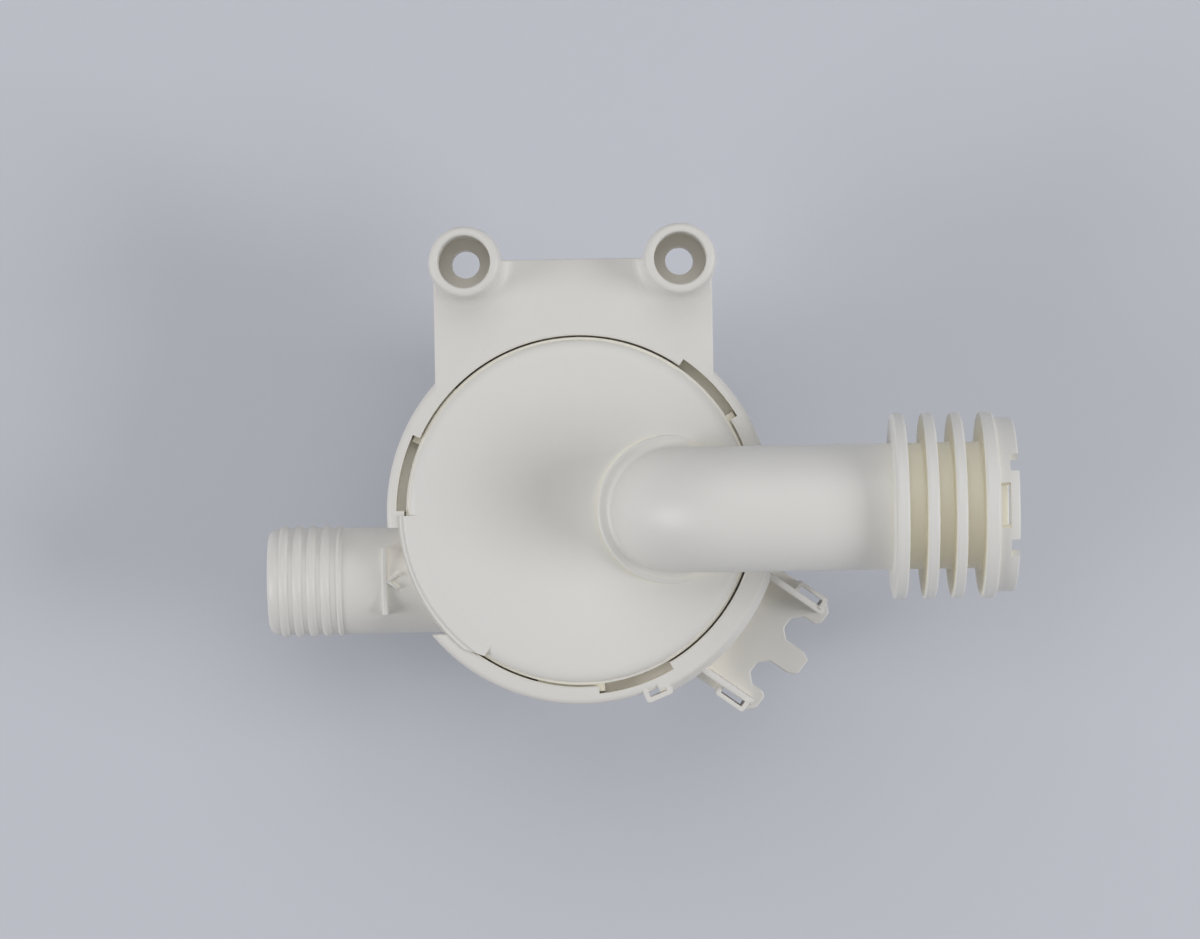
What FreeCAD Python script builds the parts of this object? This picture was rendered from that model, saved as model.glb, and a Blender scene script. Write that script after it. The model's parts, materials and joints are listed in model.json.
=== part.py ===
import FreeCAD, Part
import math
import os

from FreeCAD import Vector

# Drain valve with a turning shutter, in millimetres and degrees.
# The origin is on the shutter's axis, at the back face of the drive.
# +X points out of the inlet tube, +Y to the mounting bosses, +Z to the front.

# Heights of the stack
CASE_H = 21.0
LID_T = 1.5
FLOOR_T = 2.5
CHAMBER_H = 25.0
LID_Z = CASE_H
FLOOR_Z = LID_Z + LID_T
CHAMBER_Z = FLOOR_Z + FLOOR_T
RIM_Z = CHAMBER_Z + CHAMBER_H

# Fits and clearances
RUN_FIT = 0.05
SEAT_FIT = 0.02
DISC_GAP = 0.2
EDGE_GAP = 0.6
LUG_GAP = 0.2
CUT_REACH = 1.0
HALF_TURN = 180.0

# Chamber, rim and bayonet of the body
CHAMBER_R = 29.8
WALL_T = 2.5
SEAT_STEP = 0.8
LUG_REACH = 1.7
LUG_T = 2.6
LUG_SPAN = 22.0
LUG_SIDE_GAP = 0.3
WINDOW_SPAN = 24.5
WINDOW_ANGLES = (43.0, 166.8, 287.4)
TWIST = 21.3
LIP_T = 1.8
LEDGE_T = 1.2
RIM_WALL = 1.7
BAND_EXTRA = 1.7
BAND_FROM = -67.0
BAND_TO = -19.0
STOP_PLAY = 0.5
WALL_R = CHAMBER_R + WALL_T
COVER_R = CHAMBER_R + SEAT_STEP
LIP_R = COVER_R + EDGE_GAP
LUG_R = COVER_R + LUG_REACH
CHANNEL_R = LUG_R + LUG_SIDE_GAP
RIM_R = CHANNEL_R + RIM_WALL
CHANNEL_TOP = RIM_Z - LIP_T
LUG_BOTTOM = CHANNEL_TOP - LUG_GAP - LUG_T
CHANNEL_BOTTOM = LUG_BOTTOM - LUG_GAP
RIM_BOTTOM = CHANNEL_BOTTOM - LEDGE_T

# Outlet spigot
OUTLET_Y = -12.0
OUTLET_RISE = 9.5
OUTLET_R = 9.6
OUTLET_WALL = 2.0
BORE_DEPTH = 20.0
THROAT_STEP = 1.0
OUTLET_REACH = 24.0
NOSE_ROUND = 2.0
RIDGE_H = 0.4
RIDGE_INSET = 3.3
RIDGE_PITCH = 2.5
RIDGE_COUNT = 5
STOP_RIB_INSET = 21.2
STOP_RIB_T = 1.0
STOP_RIB_H = 0.7
PAD_HALF = 6.0
PAD_H = 0.25
OUTLET_Z = CHAMBER_Z + OUTLET_RISE
OUTLET_END = -(WALL_R + OUTLET_REACH)
RIDGE_FIRST = OUTLET_END + RIDGE_INSET
STOP_RIB_X = OUTLET_END + STOP_RIB_INSET

# Mounting plate and bosses
PLATE_X = -0.6
PLATE_SIDE = 5.7
PLATE_T = 3.0
PLATE_OVERHANG = 0.5
HOLE_SPACING = 38.0
BOSS_OUT = 9.9
BOSS_R = 6.55
BOSS_RISE = 8.0
BOSS_DROP = 8.0
BOSS_FOOT = 1.0
COUNTERBORE_R = 4.6
COUNTERBORE_DEPTH = 11.0
SCREW_HOLE_R = 2.5
GUSSET_T = 1.6
GUSSET_DROP = 8.0
GUSSET_XS = (-15.0, 0.0, 15.0)
PLATE_HALF = HOLE_SPACING / 2 + PLATE_SIDE
BOSS_Y = RIM_R + BOSS_OUT
PLATE_TOP = BOSS_Y + PLATE_OVERHANG
BOSS_TOP = RIM_Z + BOSS_RISE
BOSS_BOTTOM = RIM_Z - BOSS_DROP
COUNTERBORE_Z = BOSS_TOP - COUNTERBORE_DEPTH

# Wire bracket: u runs outward, v across it
BRACKET_ANGLE = -35.5
BRACKET_DROP = 14.0
BRACKET_T = 2.0
BRACKET_MIDDLE = -0.6
END_SETBACK = 0.05
NOTCH_REACH = 7.7
LOBE_REACH = 14.7
FOOT_REACH = 12.5
BRACKET_HALF = 12.3
LOBE_HALF = 2.4
FOOT_INNER = 7.6
NOTCH_CHAMFER = 1.6
BRACKET_WALL_V = 9.6
BRACKET_WALL_T = 1.2
BRACKET_WALL_REACH = 11.2
BRACKET_WALL_STEP = 2.0
BRACKET_WALL_DROP = 4.0
TIE_SLOT_L = 4.5
TIE_SLOT_W = 1.1
TIE_STRAP = 0.8
TIE_INSET = 3.6
TIE_RISE = 4.0
TIE_H = 4.0
BRACKET_Z = RIM_Z - BRACKET_DROP
BRACKET_NOTCH_U = RIM_R + NOTCH_REACH
BRACKET_LOBE_U = RIM_R + LOBE_REACH
BRACKET_FOOT_U = RIM_R + FOOT_REACH
BRACKET_WALL_END = RIM_R + BRACKET_WALL_REACH
BRACKET_WALL_TOP = RIM_Z - BRACKET_WALL_STEP
TIE_U = BRACKET_WALL_END - TIE_INSET
TIE_Z = BRACKET_Z + TIE_RISE
RIM_TIE_ANGLE = -67.6
RIM_TIE_SLOT_L = 3.2
RIM_TIE_SLOT_W = 1.0
RIM_TIE_H = 4.0

# Cover dish, skirt and stop flange
DISH_DEPTH = 3.7
CREST_INSET = 3.1
CREST_H = 1.0
DISH_TURN_INSET = 9.5
COVER_T = 2.4
COVER_EDGE_DROP = 2.1
SKIRT_CLEARANCE = 0.4
SKIRT_T = 3.5
SKIRT_GAP = 0.6
RING_MINOR = 1.0
RING_SIDES = 12
RING_SQUEEZE_GAP = 0.1
GROOVE_GAP = 0.1
GROOVE_LAND = 0.7
FLANGE_FROM = 181.4
FLANGE_TO = 235.6
FLANGE_OVERLAP = 0.8
FLANGE_LIFT = 0.15
CREST_R = COVER_R - CREST_INSET
DISH_TURN_R = CREST_R - DISH_TURN_INSET
CREST_Z = RIM_Z + CREST_H
DISH_Z = CREST_Z - DISH_DEPTH
FLANGE_R = LIP_R + FLANGE_OVERLAP

# Inlet port, elbow and tube
PORT_INSET = 13.4
TUBE_R = 11.0
TUBE_WALL = 2.5
TUBE_RISE = 12.0
BEND_R = 12.0
COLLAR_STEP = 2.5
COLLAR_DROP = 0.4
PORT_SEAL_T = 1.0
PORT_SEAL_H = 2.0
PORT_SEAL_LAND = 0.8
PORT_X = CHAMBER_R - PORT_INSET
PORT_R = TUBE_R - TUBE_WALL
TUBE_Z = CREST_Z + TUBE_RISE
COLLAR_R = TUBE_R + COLLAR_STEP

# Fins and notched end collar of the tube
TUBE_REACH = 59.0
FIN_INSETS = (21.0, 15.8, 10.9, 5.8)
FIN_TS = (2.1, 2.0, 1.9, 2.4)
FIN_H = 5.2
END_STEP = 4.1
END_WALL = 2.0
INNER_END_BACK = 0.4
NOTCH_BACK = 1.5
NOTCH_FROM = 23.0
NOTCH_TO = 36.0
SLOT_HALF = 15.0
SLOT_LENGTH = 1.6
SLOT_SETBACK = 0.2
TUBE_END = PORT_X + TUBE_REACH
FINS = [(TUBE_END - inset, TUBE_END - inset + t) for inset, t in zip(FIN_INSETS, FIN_TS)]
FIN_R = TUBE_R + FIN_H
END_R = TUBE_R + END_STEP

# Spindle, its bearings and the shutter
SPINDLE_R = 3.0
SPINDLE_FLAT = 0.6
SPINDLE_BOTTOM_DROP = 0.1
TIP_STEP = 1.0
TIP_LENGTH = 4.5
BUSH_WALL = 1.2
BUSH_H = 4.0
SEAL_WALL = 2.2
SEAL_H = 2.8
SEAL_AXIAL_GAP = 0.15
SEAL_RIM_T = 0.7
SEAL_WEB_T = 1.0
SEAL_LIP_T = 0.55
SEAL_LIP_BACK = 0.4
WASHER_H = 1.2
SPINDLE_BOSS_WALL = 1.8
SPINDLE_BOSS_LIP = 0.35
THRUST_WALL = 2.8
THRUST_T = 0.9
THRUST_GAP = 0.1
HUB_WALL = 3.0
DISC_SIDE_GAP = 1.0
DISC_T = 2.4
SHUTTER_DEPTH = 9.0
DISC_RIB_T = 1.6
DISC_RIB_H = 2.5
DISC_RIB_INSET = 1.0
DISC_RIB_COUNT = 4
CLIP_WALL = 2.2
CLIP_T = 0.5
CLIP_GROOVE = 0.4
CLIP_OPENING = 70.0
CLIP_GAP = 0.4
TIP_BOSS_WALL = 2.6
TIP_END_GAP = 0.4
TIP_R = SPINDLE_R - TIP_STEP
BUSH_R = SPINDLE_R + BUSH_WALL
SEAL_R = SPINDLE_R + SEAL_WALL
SPINDLE_BOSS_R = SEAL_R + SPINDLE_BOSS_WALL
SPINDLE_BOSS_Z = FLOOR_Z + BUSH_H + SEAL_AXIAL_GAP + SEAL_H + WASHER_H + SPINDLE_BOSS_LIP
THRUST_R = SPINDLE_R + THRUST_WALL
HUB_R = SPINDLE_R + HUB_WALL
DISC_R = CHAMBER_R - DISC_SIDE_GAP
DISC_RIB_R = DISC_R - DISC_RIB_INSET
DISC_TOP = RIM_Z - SHUTTER_DEPTH
DISC_Z = DISC_TOP - DISC_T
CLIP_R = TIP_R + CLIP_WALL
CLIP_Z = DISC_TOP
SKIRT_BOTTOM = DISC_TOP + SKIRT_GAP
TIP_BOSS_R = TIP_R + TIP_BOSS_WALL
TIP_BOSS_Z = CLIP_Z + CLIP_T + CLIP_GAP

# Gear train of the drive
MODULE = 0.5
PINION_TEETH = 12
WHEEL_TEETH = 34
ADDENDUM = 0.9
DEDENDUM = 1.25
BACKLASH = 0.1
PRESSURE_ANGLE = 20.0
ROTOR_OFFSET = 11.0
SECOND_GEAR_ANGLE = 65.0
AXLE_R = 0.75
HUB_SMALL_R = 1.6
GEAR_PLATE_T = 0.8
GEAR_PLATE_GAP = 0.3
GEAR_TOP_GAP = 1.5
WHEEL_T = 1.9
LAYER_PITCH = 2.5
HUB_END_GAP = 0.2
CENTRE_DISTANCE = MODULE * (PINION_TEETH + WHEEL_TEETH) / 2
FIRST_WHEEL_Z = CASE_H - GEAR_TOP_GAP - WHEEL_T - 2 * LAYER_PITCH
GEAR_PLATE_Z = FIRST_WHEEL_Z - GEAR_PLATE_GAP - GEAR_PLATE_T

# Motor of the drive
CASE_R = 24.0
CASE_WALL = 1.0
CASE_GAP = 0.2
MAGNET_R = 9.5
MAGNET_BORE = 4.0
MAGNET_LIFT = 1.0
MAGNET_TOP_GAP = 1.5
CLAW_GAP = 0.35
CLAW_T = 0.9
CLAW_COUNT = 6
CLAW_SPAN = 22.0
STATOR_T = 1.0
STATOR_GAP = 0.2
BOBBIN_WALL = 0.8
COIL_ROOM = 2.0
EAR_GAP = 1.7
EAR_R = 3.6
EAR_HOLE_R = 1.7
SCREW_R = 1.4
SCREW_HEAD_R = 2.8
SCREW_HEAD_H = 1.8
SCREW_SLOT_W = 0.8
SCREW_LENGTH = 8.0
SCREW_BOSS_WALL = 1.6
SCREW_TIP_GAP = 0.6
MAGNET_Z = CASE_WALL + MAGNET_LIFT
MAGNET_H = GEAR_PLATE_Z - MAGNET_TOP_GAP - MAGNET_Z
WINDING_R = CASE_R - CASE_WALL - COIL_ROOM
EAR_DISTANCE = CASE_R + EAR_GAP + SCREW_HEAD_R

# Terminal block of the drive
BLOCK_HALF = 7.0
BLOCK_TOP_GAP = 2.0
BLOCK_H = 11.0
BLOCK_REACH = 6.5
BLOCK_WALL = 1.4
POCKET_DEPTH = 4.7
BLADE_W = 2.8
BLADE_T = 0.8
BLADE_V = 2.5
BLADE_SETBACK = 0.6
BLOCK_Z = CASE_H - BLOCK_TOP_GAP - BLOCK_H
BLOCK_END = ROTOR_OFFSET + CASE_R + BLOCK_REACH


def disc(radius, z0, z1, x=0.0, y=0.0):
    return Part.makeCylinder(radius, z1 - z0, Vector(x, y, z0))


def ring(outer, inner, z0, z1, x=0.0, y=0.0):
    return disc(outer, z0, z1, x, y).cut(disc(inner, z0, z1, x, y))


def box(x0, x1, y0, y1, z0, z1):
    return Part.makeBox(x1 - x0, y1 - y0, z1 - z0, Vector(x0, y0, z0))


def prism(outline, z0, z1):
    points = [Vector(x, y, z0) for x, y in outline]
    face = Part.Face(Part.makePolygon(points + points[:1]))
    return face.extrude(Vector(0, 0, z1 - z0))


def lathe(outline):
    """Turns an outline of (radius, z) points about the Z axis."""
    points = [Vector(r, 0, z) for r, z in outline]
    face = Part.Face(Part.makePolygon(points + points[:1]))
    return face.revolve(Vector(), Vector(0, 0, 1), 360)


def lathe_along_x(outline, y, z):
    """Turns an outline of (x, radius) points about a line along X."""
    points = [Vector(x, y, z + r) for x, r in outline]
    face = Part.Face(Part.makePolygon(points + points[:1]))
    return face.revolve(Vector(0, y, z), Vector(1, 0, 0), 360)


def polar(radius, angle, z=0.0):
    turn = math.radians(angle)
    return Vector(radius * math.cos(turn), radius * math.sin(turn), z)


def arc(radius, start, end, z):
    middle = (start + end) / 2
    ends = [polar(radius, a, z) for a in (start, middle, end)]
    return Part.Arc(*ends).toShape()


def sector(outer, inner, start, end, z0, z1):
    """A block between two radii and two angles."""
    edges = [
        arc(outer, start, end, z0),
        Part.makeLine(polar(outer, end, z0), polar(inner, end, z0)),
        arc(inner, end, start, z0),
        Part.makeLine(polar(inner, start, z0), polar(outer, start, z0)),
    ]
    return Part.Face(Part.Wire(edges)).extrude(Vector(0, 0, z1 - z0))


def turned(shape, angle, x=0.0, y=0.0):
    copy = shape.copy()
    copy.rotate(Vector(x, y, 0), Vector(0, 0, 1), angle)
    return copy


def mirrored_pair(shape):
    """A shape and its mirror image across v = 0."""
    return [shape, shape.mirror(Vector(), Vector(0, 1, 0))]


def on_bracket_axis(shape):
    """Turns a shape built along (u, v) to the direction of the wire bracket."""
    return turned(shape, BRACKET_ANGLE)


# Valve body


def rim_band():
    return sector(RIM_R + BAND_EXTRA, CHAMBER_R, BAND_FROM, BAND_TO, RIM_BOTTOM, RIM_Z)


def body_wall():
    return lathe([
        (CHAMBER_R, CHAMBER_Z), (WALL_R, CHAMBER_Z), (WALL_R, RIM_BOTTOM), (RIM_R, RIM_BOTTOM),
        (RIM_R, RIM_Z), (CHAMBER_R, RIM_Z),
    ])


def outside_body(shape):
    """What a shape keeps outside the chamber's wall and rim."""
    room = [disc(WALL_R, FLOOR_Z, RIM_BOTTOM), disc(RIM_R, RIM_BOTTOM, RIM_Z), rim_band()]
    return shape.cut(room).removeSplitter()


def plate_and_gussets():
    left = PLATE_X - PLATE_HALF
    right = PLATE_X + PLATE_HALF
    plate = box(left, right, 0, PLATE_TOP, RIM_Z - PLATE_T, RIM_Z)
    gussets = []
    for x in GUSSET_XS:
        web = [
            Vector(PLATE_X + x - GUSSET_T / 2, 0, RIM_Z - PLATE_T - GUSSET_DROP),
            Vector(PLATE_X + x - GUSSET_T / 2, WALL_R, RIM_Z - PLATE_T - GUSSET_DROP),
            Vector(PLATE_X + x - GUSSET_T / 2, PLATE_TOP - GUSSET_T, RIM_Z - PLATE_T),
            Vector(PLATE_X + x - GUSSET_T / 2, 0, RIM_Z - PLATE_T),
        ]
        face = Part.Face(Part.makePolygon(web + web[:1]))
        gussets.append(face.extrude(Vector(GUSSET_T, 0, 0)))
    return [plate] + gussets


def boss_places():
    return [(PLATE_X + side * HOLE_SPACING / 2, BOSS_Y) for side in (-1, 1)]


def mounting_bosses():
    profile = lathe([
        (0, BOSS_BOTTOM), (BOSS_R - BOSS_FOOT / 2, BOSS_BOTTOM), (BOSS_R, BOSS_BOTTOM + BOSS_FOOT),
        (BOSS_R, BOSS_TOP - BOSS_FOOT / 2), (BOSS_R - BOSS_FOOT / 2, BOSS_TOP), (0, BOSS_TOP),
    ])
    foot = lathe([
        (0, RIM_Z), (BOSS_R + BOSS_FOOT, RIM_Z), (BOSS_R, RIM_Z + BOSS_FOOT),
        (0, RIM_Z + BOSS_FOOT),
    ])
    over_plate = box(
        PLATE_X - PLATE_HALF, PLATE_X + PLATE_HALF, 0, PLATE_TOP, RIM_Z, RIM_Z + BOSS_FOOT
    )
    bosses = []
    for x, y in boss_places():
        bosses.append(profile.translated(Vector(x, y, 0)))
        bosses.append(foot.translated(Vector(x, y, 0)).common(over_plate))
    return bosses


def mounting_bores():
    bores = []
    for x, y in boss_places():
        bores.append(disc(SCREW_HOLE_R, BOSS_BOTTOM, COUNTERBORE_Z, x, y))
        bores.append(disc(COUNTERBORE_R, COUNTERBORE_Z, BOSS_TOP, x, y))
    return bores


def mounting_plate():
    solids = plate_and_gussets() + mounting_bosses()
    return outside_body(solids[0].multiFuse(solids[1:])).cut(mounting_bores())


def spigot_outline():
    """The spigot's outer (x, radius) line, from its nose to the chamber."""
    line = [(OUTLET_END, 0), (OUTLET_END, OUTLET_R - NOSE_ROUND)]
    for angle in (30, 60, 90):
        turn = math.radians(angle)
        line.append((
            OUTLET_END + NOSE_ROUND * (1 - math.cos(turn)),
            OUTLET_R - NOSE_ROUND * (1 - math.sin(turn)),
        ))
    for i in range(RIDGE_COUNT):
        x = RIDGE_FIRST + i * RIDGE_PITCH
        flank = RIDGE_PITCH / 2 - RIDGE_H / 2
        line.append((x - flank, OUTLET_R))
        line.append((x - flank / 2, OUTLET_R + RIDGE_H))
        line.append((x + flank / 2, OUTLET_R + RIDGE_H))
        line.append((x + flank, OUTLET_R))
    return line + [(-CHAMBER_R / 2, OUTLET_R), (-CHAMBER_R / 2, 0)]


def spigot_gap():
    """The gap that the rim leaves over the spigot."""
    gap = ring(RIM_R + CUT_REACH, WALL_R, RIM_BOTTOM, RIM_Z)
    return gap.common(box(
        -RIM_R, 0, OUTLET_Y - OUTLET_R, OUTLET_Y + OUTLET_R, RIM_BOTTOM, RIM_Z
    ))


def outlet_bores():
    """The spigot's bore, and the narrower throat from it into the chamber."""
    bore_r = OUTLET_R - OUTLET_WALL
    bore = [(OUTLET_END, 0), (OUTLET_END, bore_r), (OUTLET_END + BORE_DEPTH, bore_r)]
    throat_r = bore_r - THROAT_STEP
    bore += [(OUTLET_END + BORE_DEPTH, throat_r), (-CHAMBER_R / 2, throat_r), (-CHAMBER_R / 2, 0)]
    return lathe_along_x(bore, OUTLET_Y, OUTLET_Z)


def hose_spigot():
    """The spigot, whose end is hollowed to fit the chamber's wall."""
    tube = lathe_along_x(spigot_outline(), OUTLET_Y, OUTLET_Z)
    top = OUTLET_Z + OUTLET_R
    rib_x = STOP_RIB_X - STOP_RIB_T / 2
    pad = box(
        rib_x, -CHAMBER_R / 2, OUTLET_Y - PAD_HALF, OUTLET_Y + PAD_HALF, OUTLET_Z, top + PAD_H
    )
    rib = box(
        rib_x, rib_x + STOP_RIB_T, OUTLET_Y - PAD_HALF, OUTLET_Y + PAD_HALF,
        OUTLET_Z, top + STOP_RIB_H,
    )
    spigot = tube.multiFuse([pad, rib])
    return spigot.cut([disc(WALL_R, FLOOR_Z, RIM_Z), outlet_bores()]).removeSplitter()


def on_both_sides(shape):
    """A shape of the bracket's one side, and its like on the other side, a little further in."""
    upper, lower = mirrored_pair(shape)
    step = Vector(END_SETBACK * BRACKET_HALF, BRACKET_MIDDLE, 0)
    return [upper.translated(step), lower.translated(Vector(-step.x, step.y, 0))]


def bracket_floor():
    deep = BRACKET_NOTCH_U
    half = [
        (CHAMBER_R - WALL_T, BRACKET_HALF),
        (BRACKET_FOOT_U - NOTCH_CHAMFER, BRACKET_HALF),
        (BRACKET_FOOT_U, BRACKET_HALF - NOTCH_CHAMFER),
        (BRACKET_FOOT_U, FOOT_INNER + NOTCH_CHAMFER / 2),
        (BRACKET_FOOT_U - NOTCH_CHAMFER / 2, FOOT_INNER),
        (deep + NOTCH_CHAMFER, FOOT_INNER),
        (deep, FOOT_INNER - NOTCH_CHAMFER),
        (deep, LOBE_HALF + NOTCH_CHAMFER),
        (deep + NOTCH_CHAMFER, LOBE_HALF),
        (BRACKET_LOBE_U - NOTCH_CHAMFER, LOBE_HALF),
        (BRACKET_LOBE_U, LOBE_HALF - NOTCH_CHAMFER / 2),
    ]
    both = half + [(u, -v) for u, v in reversed(half)]
    outline = [(u + END_SETBACK * v, v + BRACKET_MIDDLE) for u, v in both]
    return prism(outline, BRACKET_Z, BRACKET_Z + BRACKET_T)


def bracket_wall():
    start = CHAMBER_R - WALL_T
    side = [
        Vector(start, BRACKET_WALL_V, BRACKET_Z),
        Vector(BRACKET_WALL_END, BRACKET_WALL_V, BRACKET_Z),
        Vector(BRACKET_WALL_END, BRACKET_WALL_V, BRACKET_WALL_TOP - BRACKET_WALL_DROP),
        Vector(RIM_R + BAND_EXTRA, BRACKET_WALL_V, BRACKET_WALL_TOP),
        Vector(start, BRACKET_WALL_V, BRACKET_WALL_TOP),
    ]
    face = Part.Face(Part.makePolygon(side + side[:1]))
    return face.extrude(Vector(0, BRACKET_WALL_T, 0))


def bracket_tie():
    inner = BRACKET_WALL_V + BRACKET_WALL_T
    half = TIE_SLOT_L / 2
    loop = box(
        TIE_U - half - TIE_STRAP, TIE_U + half + TIE_STRAP,
        inner - BRACKET_WALL_T / 2, inner + TIE_SLOT_W + TIE_STRAP, TIE_Z, TIE_Z + TIE_H,
    )
    slot = box(TIE_U - half, TIE_U + half, inner, inner + TIE_SLOT_W, BRACKET_Z, BRACKET_WALL_TOP)
    return loop.cut(slot), slot


def wire_bracket():
    loop, slot = bracket_tie()
    solids = [bracket_floor()] + on_both_sides(bracket_wall()) + on_both_sides(loop)
    bracket = solids[0].multiFuse(solids[1:])
    return outside_body(on_bracket_axis(bracket.cut(on_both_sides(slot))))


def rim_tie():
    outer = RIM_R + RIM_TIE_SLOT_W + TIE_STRAP
    half = RIM_TIE_SLOT_L / 2
    loop = box(CHANNEL_R, outer, -half - TIE_STRAP, half + TIE_STRAP, RIM_Z - RIM_TIE_H, RIM_Z)
    slot = box(RIM_R, RIM_R + RIM_TIE_SLOT_W, -half, half, RIM_Z - RIM_TIE_H, RIM_Z)
    return turned(loop.cut(slot), RIM_TIE_ANGLE)


def screw_places():
    """The drive's two screws, in (u, v)."""
    return [(ROTOR_OFFSET, side * EAR_DISTANCE) for side in (-1, 1)]


def screw_bosses():
    top = FLOOR_Z + SCREW_LENGTH - LID_T + SCREW_TIP_GAP + SCREW_BOSS_WALL
    radius = SCREW_R + SEAT_FIT + SCREW_BOSS_WALL
    return [on_bracket_axis(disc(radius, FLOOR_Z, top, u, v)) for u, v in screw_places()]


def screw_bores():
    top = FLOOR_Z + SCREW_LENGTH - LID_T + SCREW_TIP_GAP
    return [
        on_bracket_axis(disc(SCREW_R + SEAT_FIT, FLOOR_Z, top, u, v)) for u, v in screw_places()
    ]


def bayonet_cuts():
    """The seat of the cover, with a channel and an entry window for each lug."""
    cuts = [disc(LIP_R, CHANNEL_BOTTOM, RIM_Z)]
    for angle in WINDOW_ANGLES:
        window_start = angle - WINDOW_SPAN / 2
        window_end = angle + WINDOW_SPAN / 2
        lug_start = angle - TWIST - LUG_SPAN / 2
        cuts.append(sector(
            CHANNEL_R, CHAMBER_R, lug_start - STOP_PLAY, window_end, CHANNEL_BOTTOM, CHANNEL_TOP
        ))
        cuts.append(sector(CHANNEL_R, CHAMBER_R, window_start, window_end, CHANNEL_TOP, RIM_Z))
    return cuts


def spindle_boss_cuts():
    bush_top = FLOOR_Z + BUSH_H + SEAL_AXIAL_GAP
    return [
        disc(BUSH_R + SEAT_FIT, FLOOR_Z, bush_top),
        disc(SEAL_R + SEAT_FIT, bush_top, SPINDLE_BOSS_Z),
    ]


def valve_body():
    """The chamber's wall with its rim, a tie loop and the posts for the drive's screws."""
    solids = [body_wall(), rim_band(), rim_tie()] + screw_bosses()
    cuts = bayonet_cuts() + screw_bores() + [spigot_gap(), outlet_bores()]
    return solids[0].multiFuse(solids[1:]).cut(cuts).removeSplitter()


def chamber_floor():
    floor = disc(WALL_R, FLOOR_Z, CHAMBER_Z).fuse(disc(SPINDLE_BOSS_R, FLOOR_Z, SPINDLE_BOSS_Z))
    return floor.cut(screw_bosses() + spindle_boss_cuts()).removeSplitter()


# Cover with the inlet


def dish_arcs():
    """The dished face from the axis out: a hollow arc that turns into a crowned one."""
    slope = 2 * DISH_DEPTH / CREST_R
    width = CREST_R - DISH_TURN_R
    turn = Vector(DISH_TURN_R, 0, DISH_Z + slope * DISH_TURN_R / 2)
    hollow_mid = Vector(DISH_TURN_R / 2, 0, DISH_Z + slope * DISH_TURN_R / 8)
    crown_mid = Vector(DISH_TURN_R + width / 2, 0, CREST_Z - slope * width / 8)
    hollow = Part.Arc(Vector(0, 0, DISH_Z), hollow_mid, turn).toShape()
    crown = Part.Arc(turn, crown_mid, Vector(CREST_R, 0, CREST_Z)).toShape()
    return [hollow, crown]


def groove_heights():
    bottom = SKIRT_BOTTOM + GROOVE_LAND
    return bottom, bottom + 2 * RING_MINOR + GROOVE_GAP


def cover_shell():
    skirt_out = CHAMBER_R - SKIRT_CLEARANCE
    skirt_in = skirt_out - SKIRT_T
    groove_r = CHAMBER_R - RING_SQUEEZE_GAP - 2 * RING_MINOR - RUN_FIT
    groove_z0, groove_z1 = groove_heights()
    top = dish_arcs()
    crest = top[1].Vertexes[1].Point
    turn = top[0].Vertexes[1].Point
    edge_under = Vector(skirt_in, 0, crest.z - COVER_T)
    edge_z = crest.z - COVER_EDGE_DROP
    half = math.sin(math.radians(45))
    corner = Vector(
        crest.x + (COVER_R - crest.x) * half, 0, crest.z - COVER_EDGE_DROP * (1 - half)
    )
    line = [
        (COVER_R, edge_z), (COVER_R, LUG_BOTTOM), (skirt_out, LUG_BOTTOM),
        (skirt_out, groove_z1), (groove_r, groove_z1), (groove_r, groove_z0),
        (skirt_out, groove_z0), (skirt_out, SKIRT_BOTTOM), (skirt_in, SKIRT_BOTTOM),
        (edge_under.x, edge_under.z), (turn.x, turn.z - COVER_T), (0, DISH_Z - COVER_T),
    ]
    points = [Vector(r, 0, z) for r, z in line]
    edges = top + [Part.Arc(crest, corner, points[0]).toShape()]
    edges += [Part.makeLine(a, b) for a, b in zip(points, points[1:])]
    edges.append(Part.makeLine(points[-1], Vector(0, 0, DISH_Z)))
    wire = Part.Wire(Part.sortEdges(edges)[0])
    return Part.Face(wire).revolve(Vector(), Vector(0, 0, 1), 360)


def elbow(radius, start_z):
    """The path of the inlet at one radius: up from the port and round to +X."""
    bend_z = TUBE_Z - BEND_R
    riser = disc(radius, start_z, bend_z, PORT_X, 0)
    circle = Part.makeCircle(radius, Vector(PORT_X, 0, bend_z), Vector(0, 0, 1))
    section = Part.Face(Part.Wire(circle))
    bend = section.revolve(Vector(PORT_X + BEND_R, 0, bend_z), Vector(0, 1, 0), 90)
    return riser.fuse(bend)


def tube_outline():
    """The tube's (x, radius) line with its fins and end collar."""
    line = [(PORT_X + BEND_R, TUBE_R)]
    for start, end in FINS:
        line += [(start, TUBE_R), (start, FIN_R), (end, FIN_R), (end, TUBE_R)]
    last = FINS[-1][1]
    line[-1] = (last, END_R)
    line += [
        (TUBE_END, END_R), (TUBE_END, END_R - END_WALL), (last, END_R - END_WALL),
        (last, TUBE_R), (TUBE_END - INNER_END_BACK, TUBE_R),
        (TUBE_END - INNER_END_BACK, PORT_R), (PORT_X + BEND_R, PORT_R),
    ]
    return line


def wedge_on_tube(start, end, outer, inner, x0, x1):
    """A block round the tube's axis, between two angles from its top line."""
    block = sector(outer, inner, start, end, 0, x1 - x0)
    block.rotate(Vector(), Vector(0, 1, 0), 90)
    block.rotate(Vector(), Vector(1, 0, 0), HALF_TURN)
    return block.translated(Vector(x0, 0, TUBE_Z))


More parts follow.
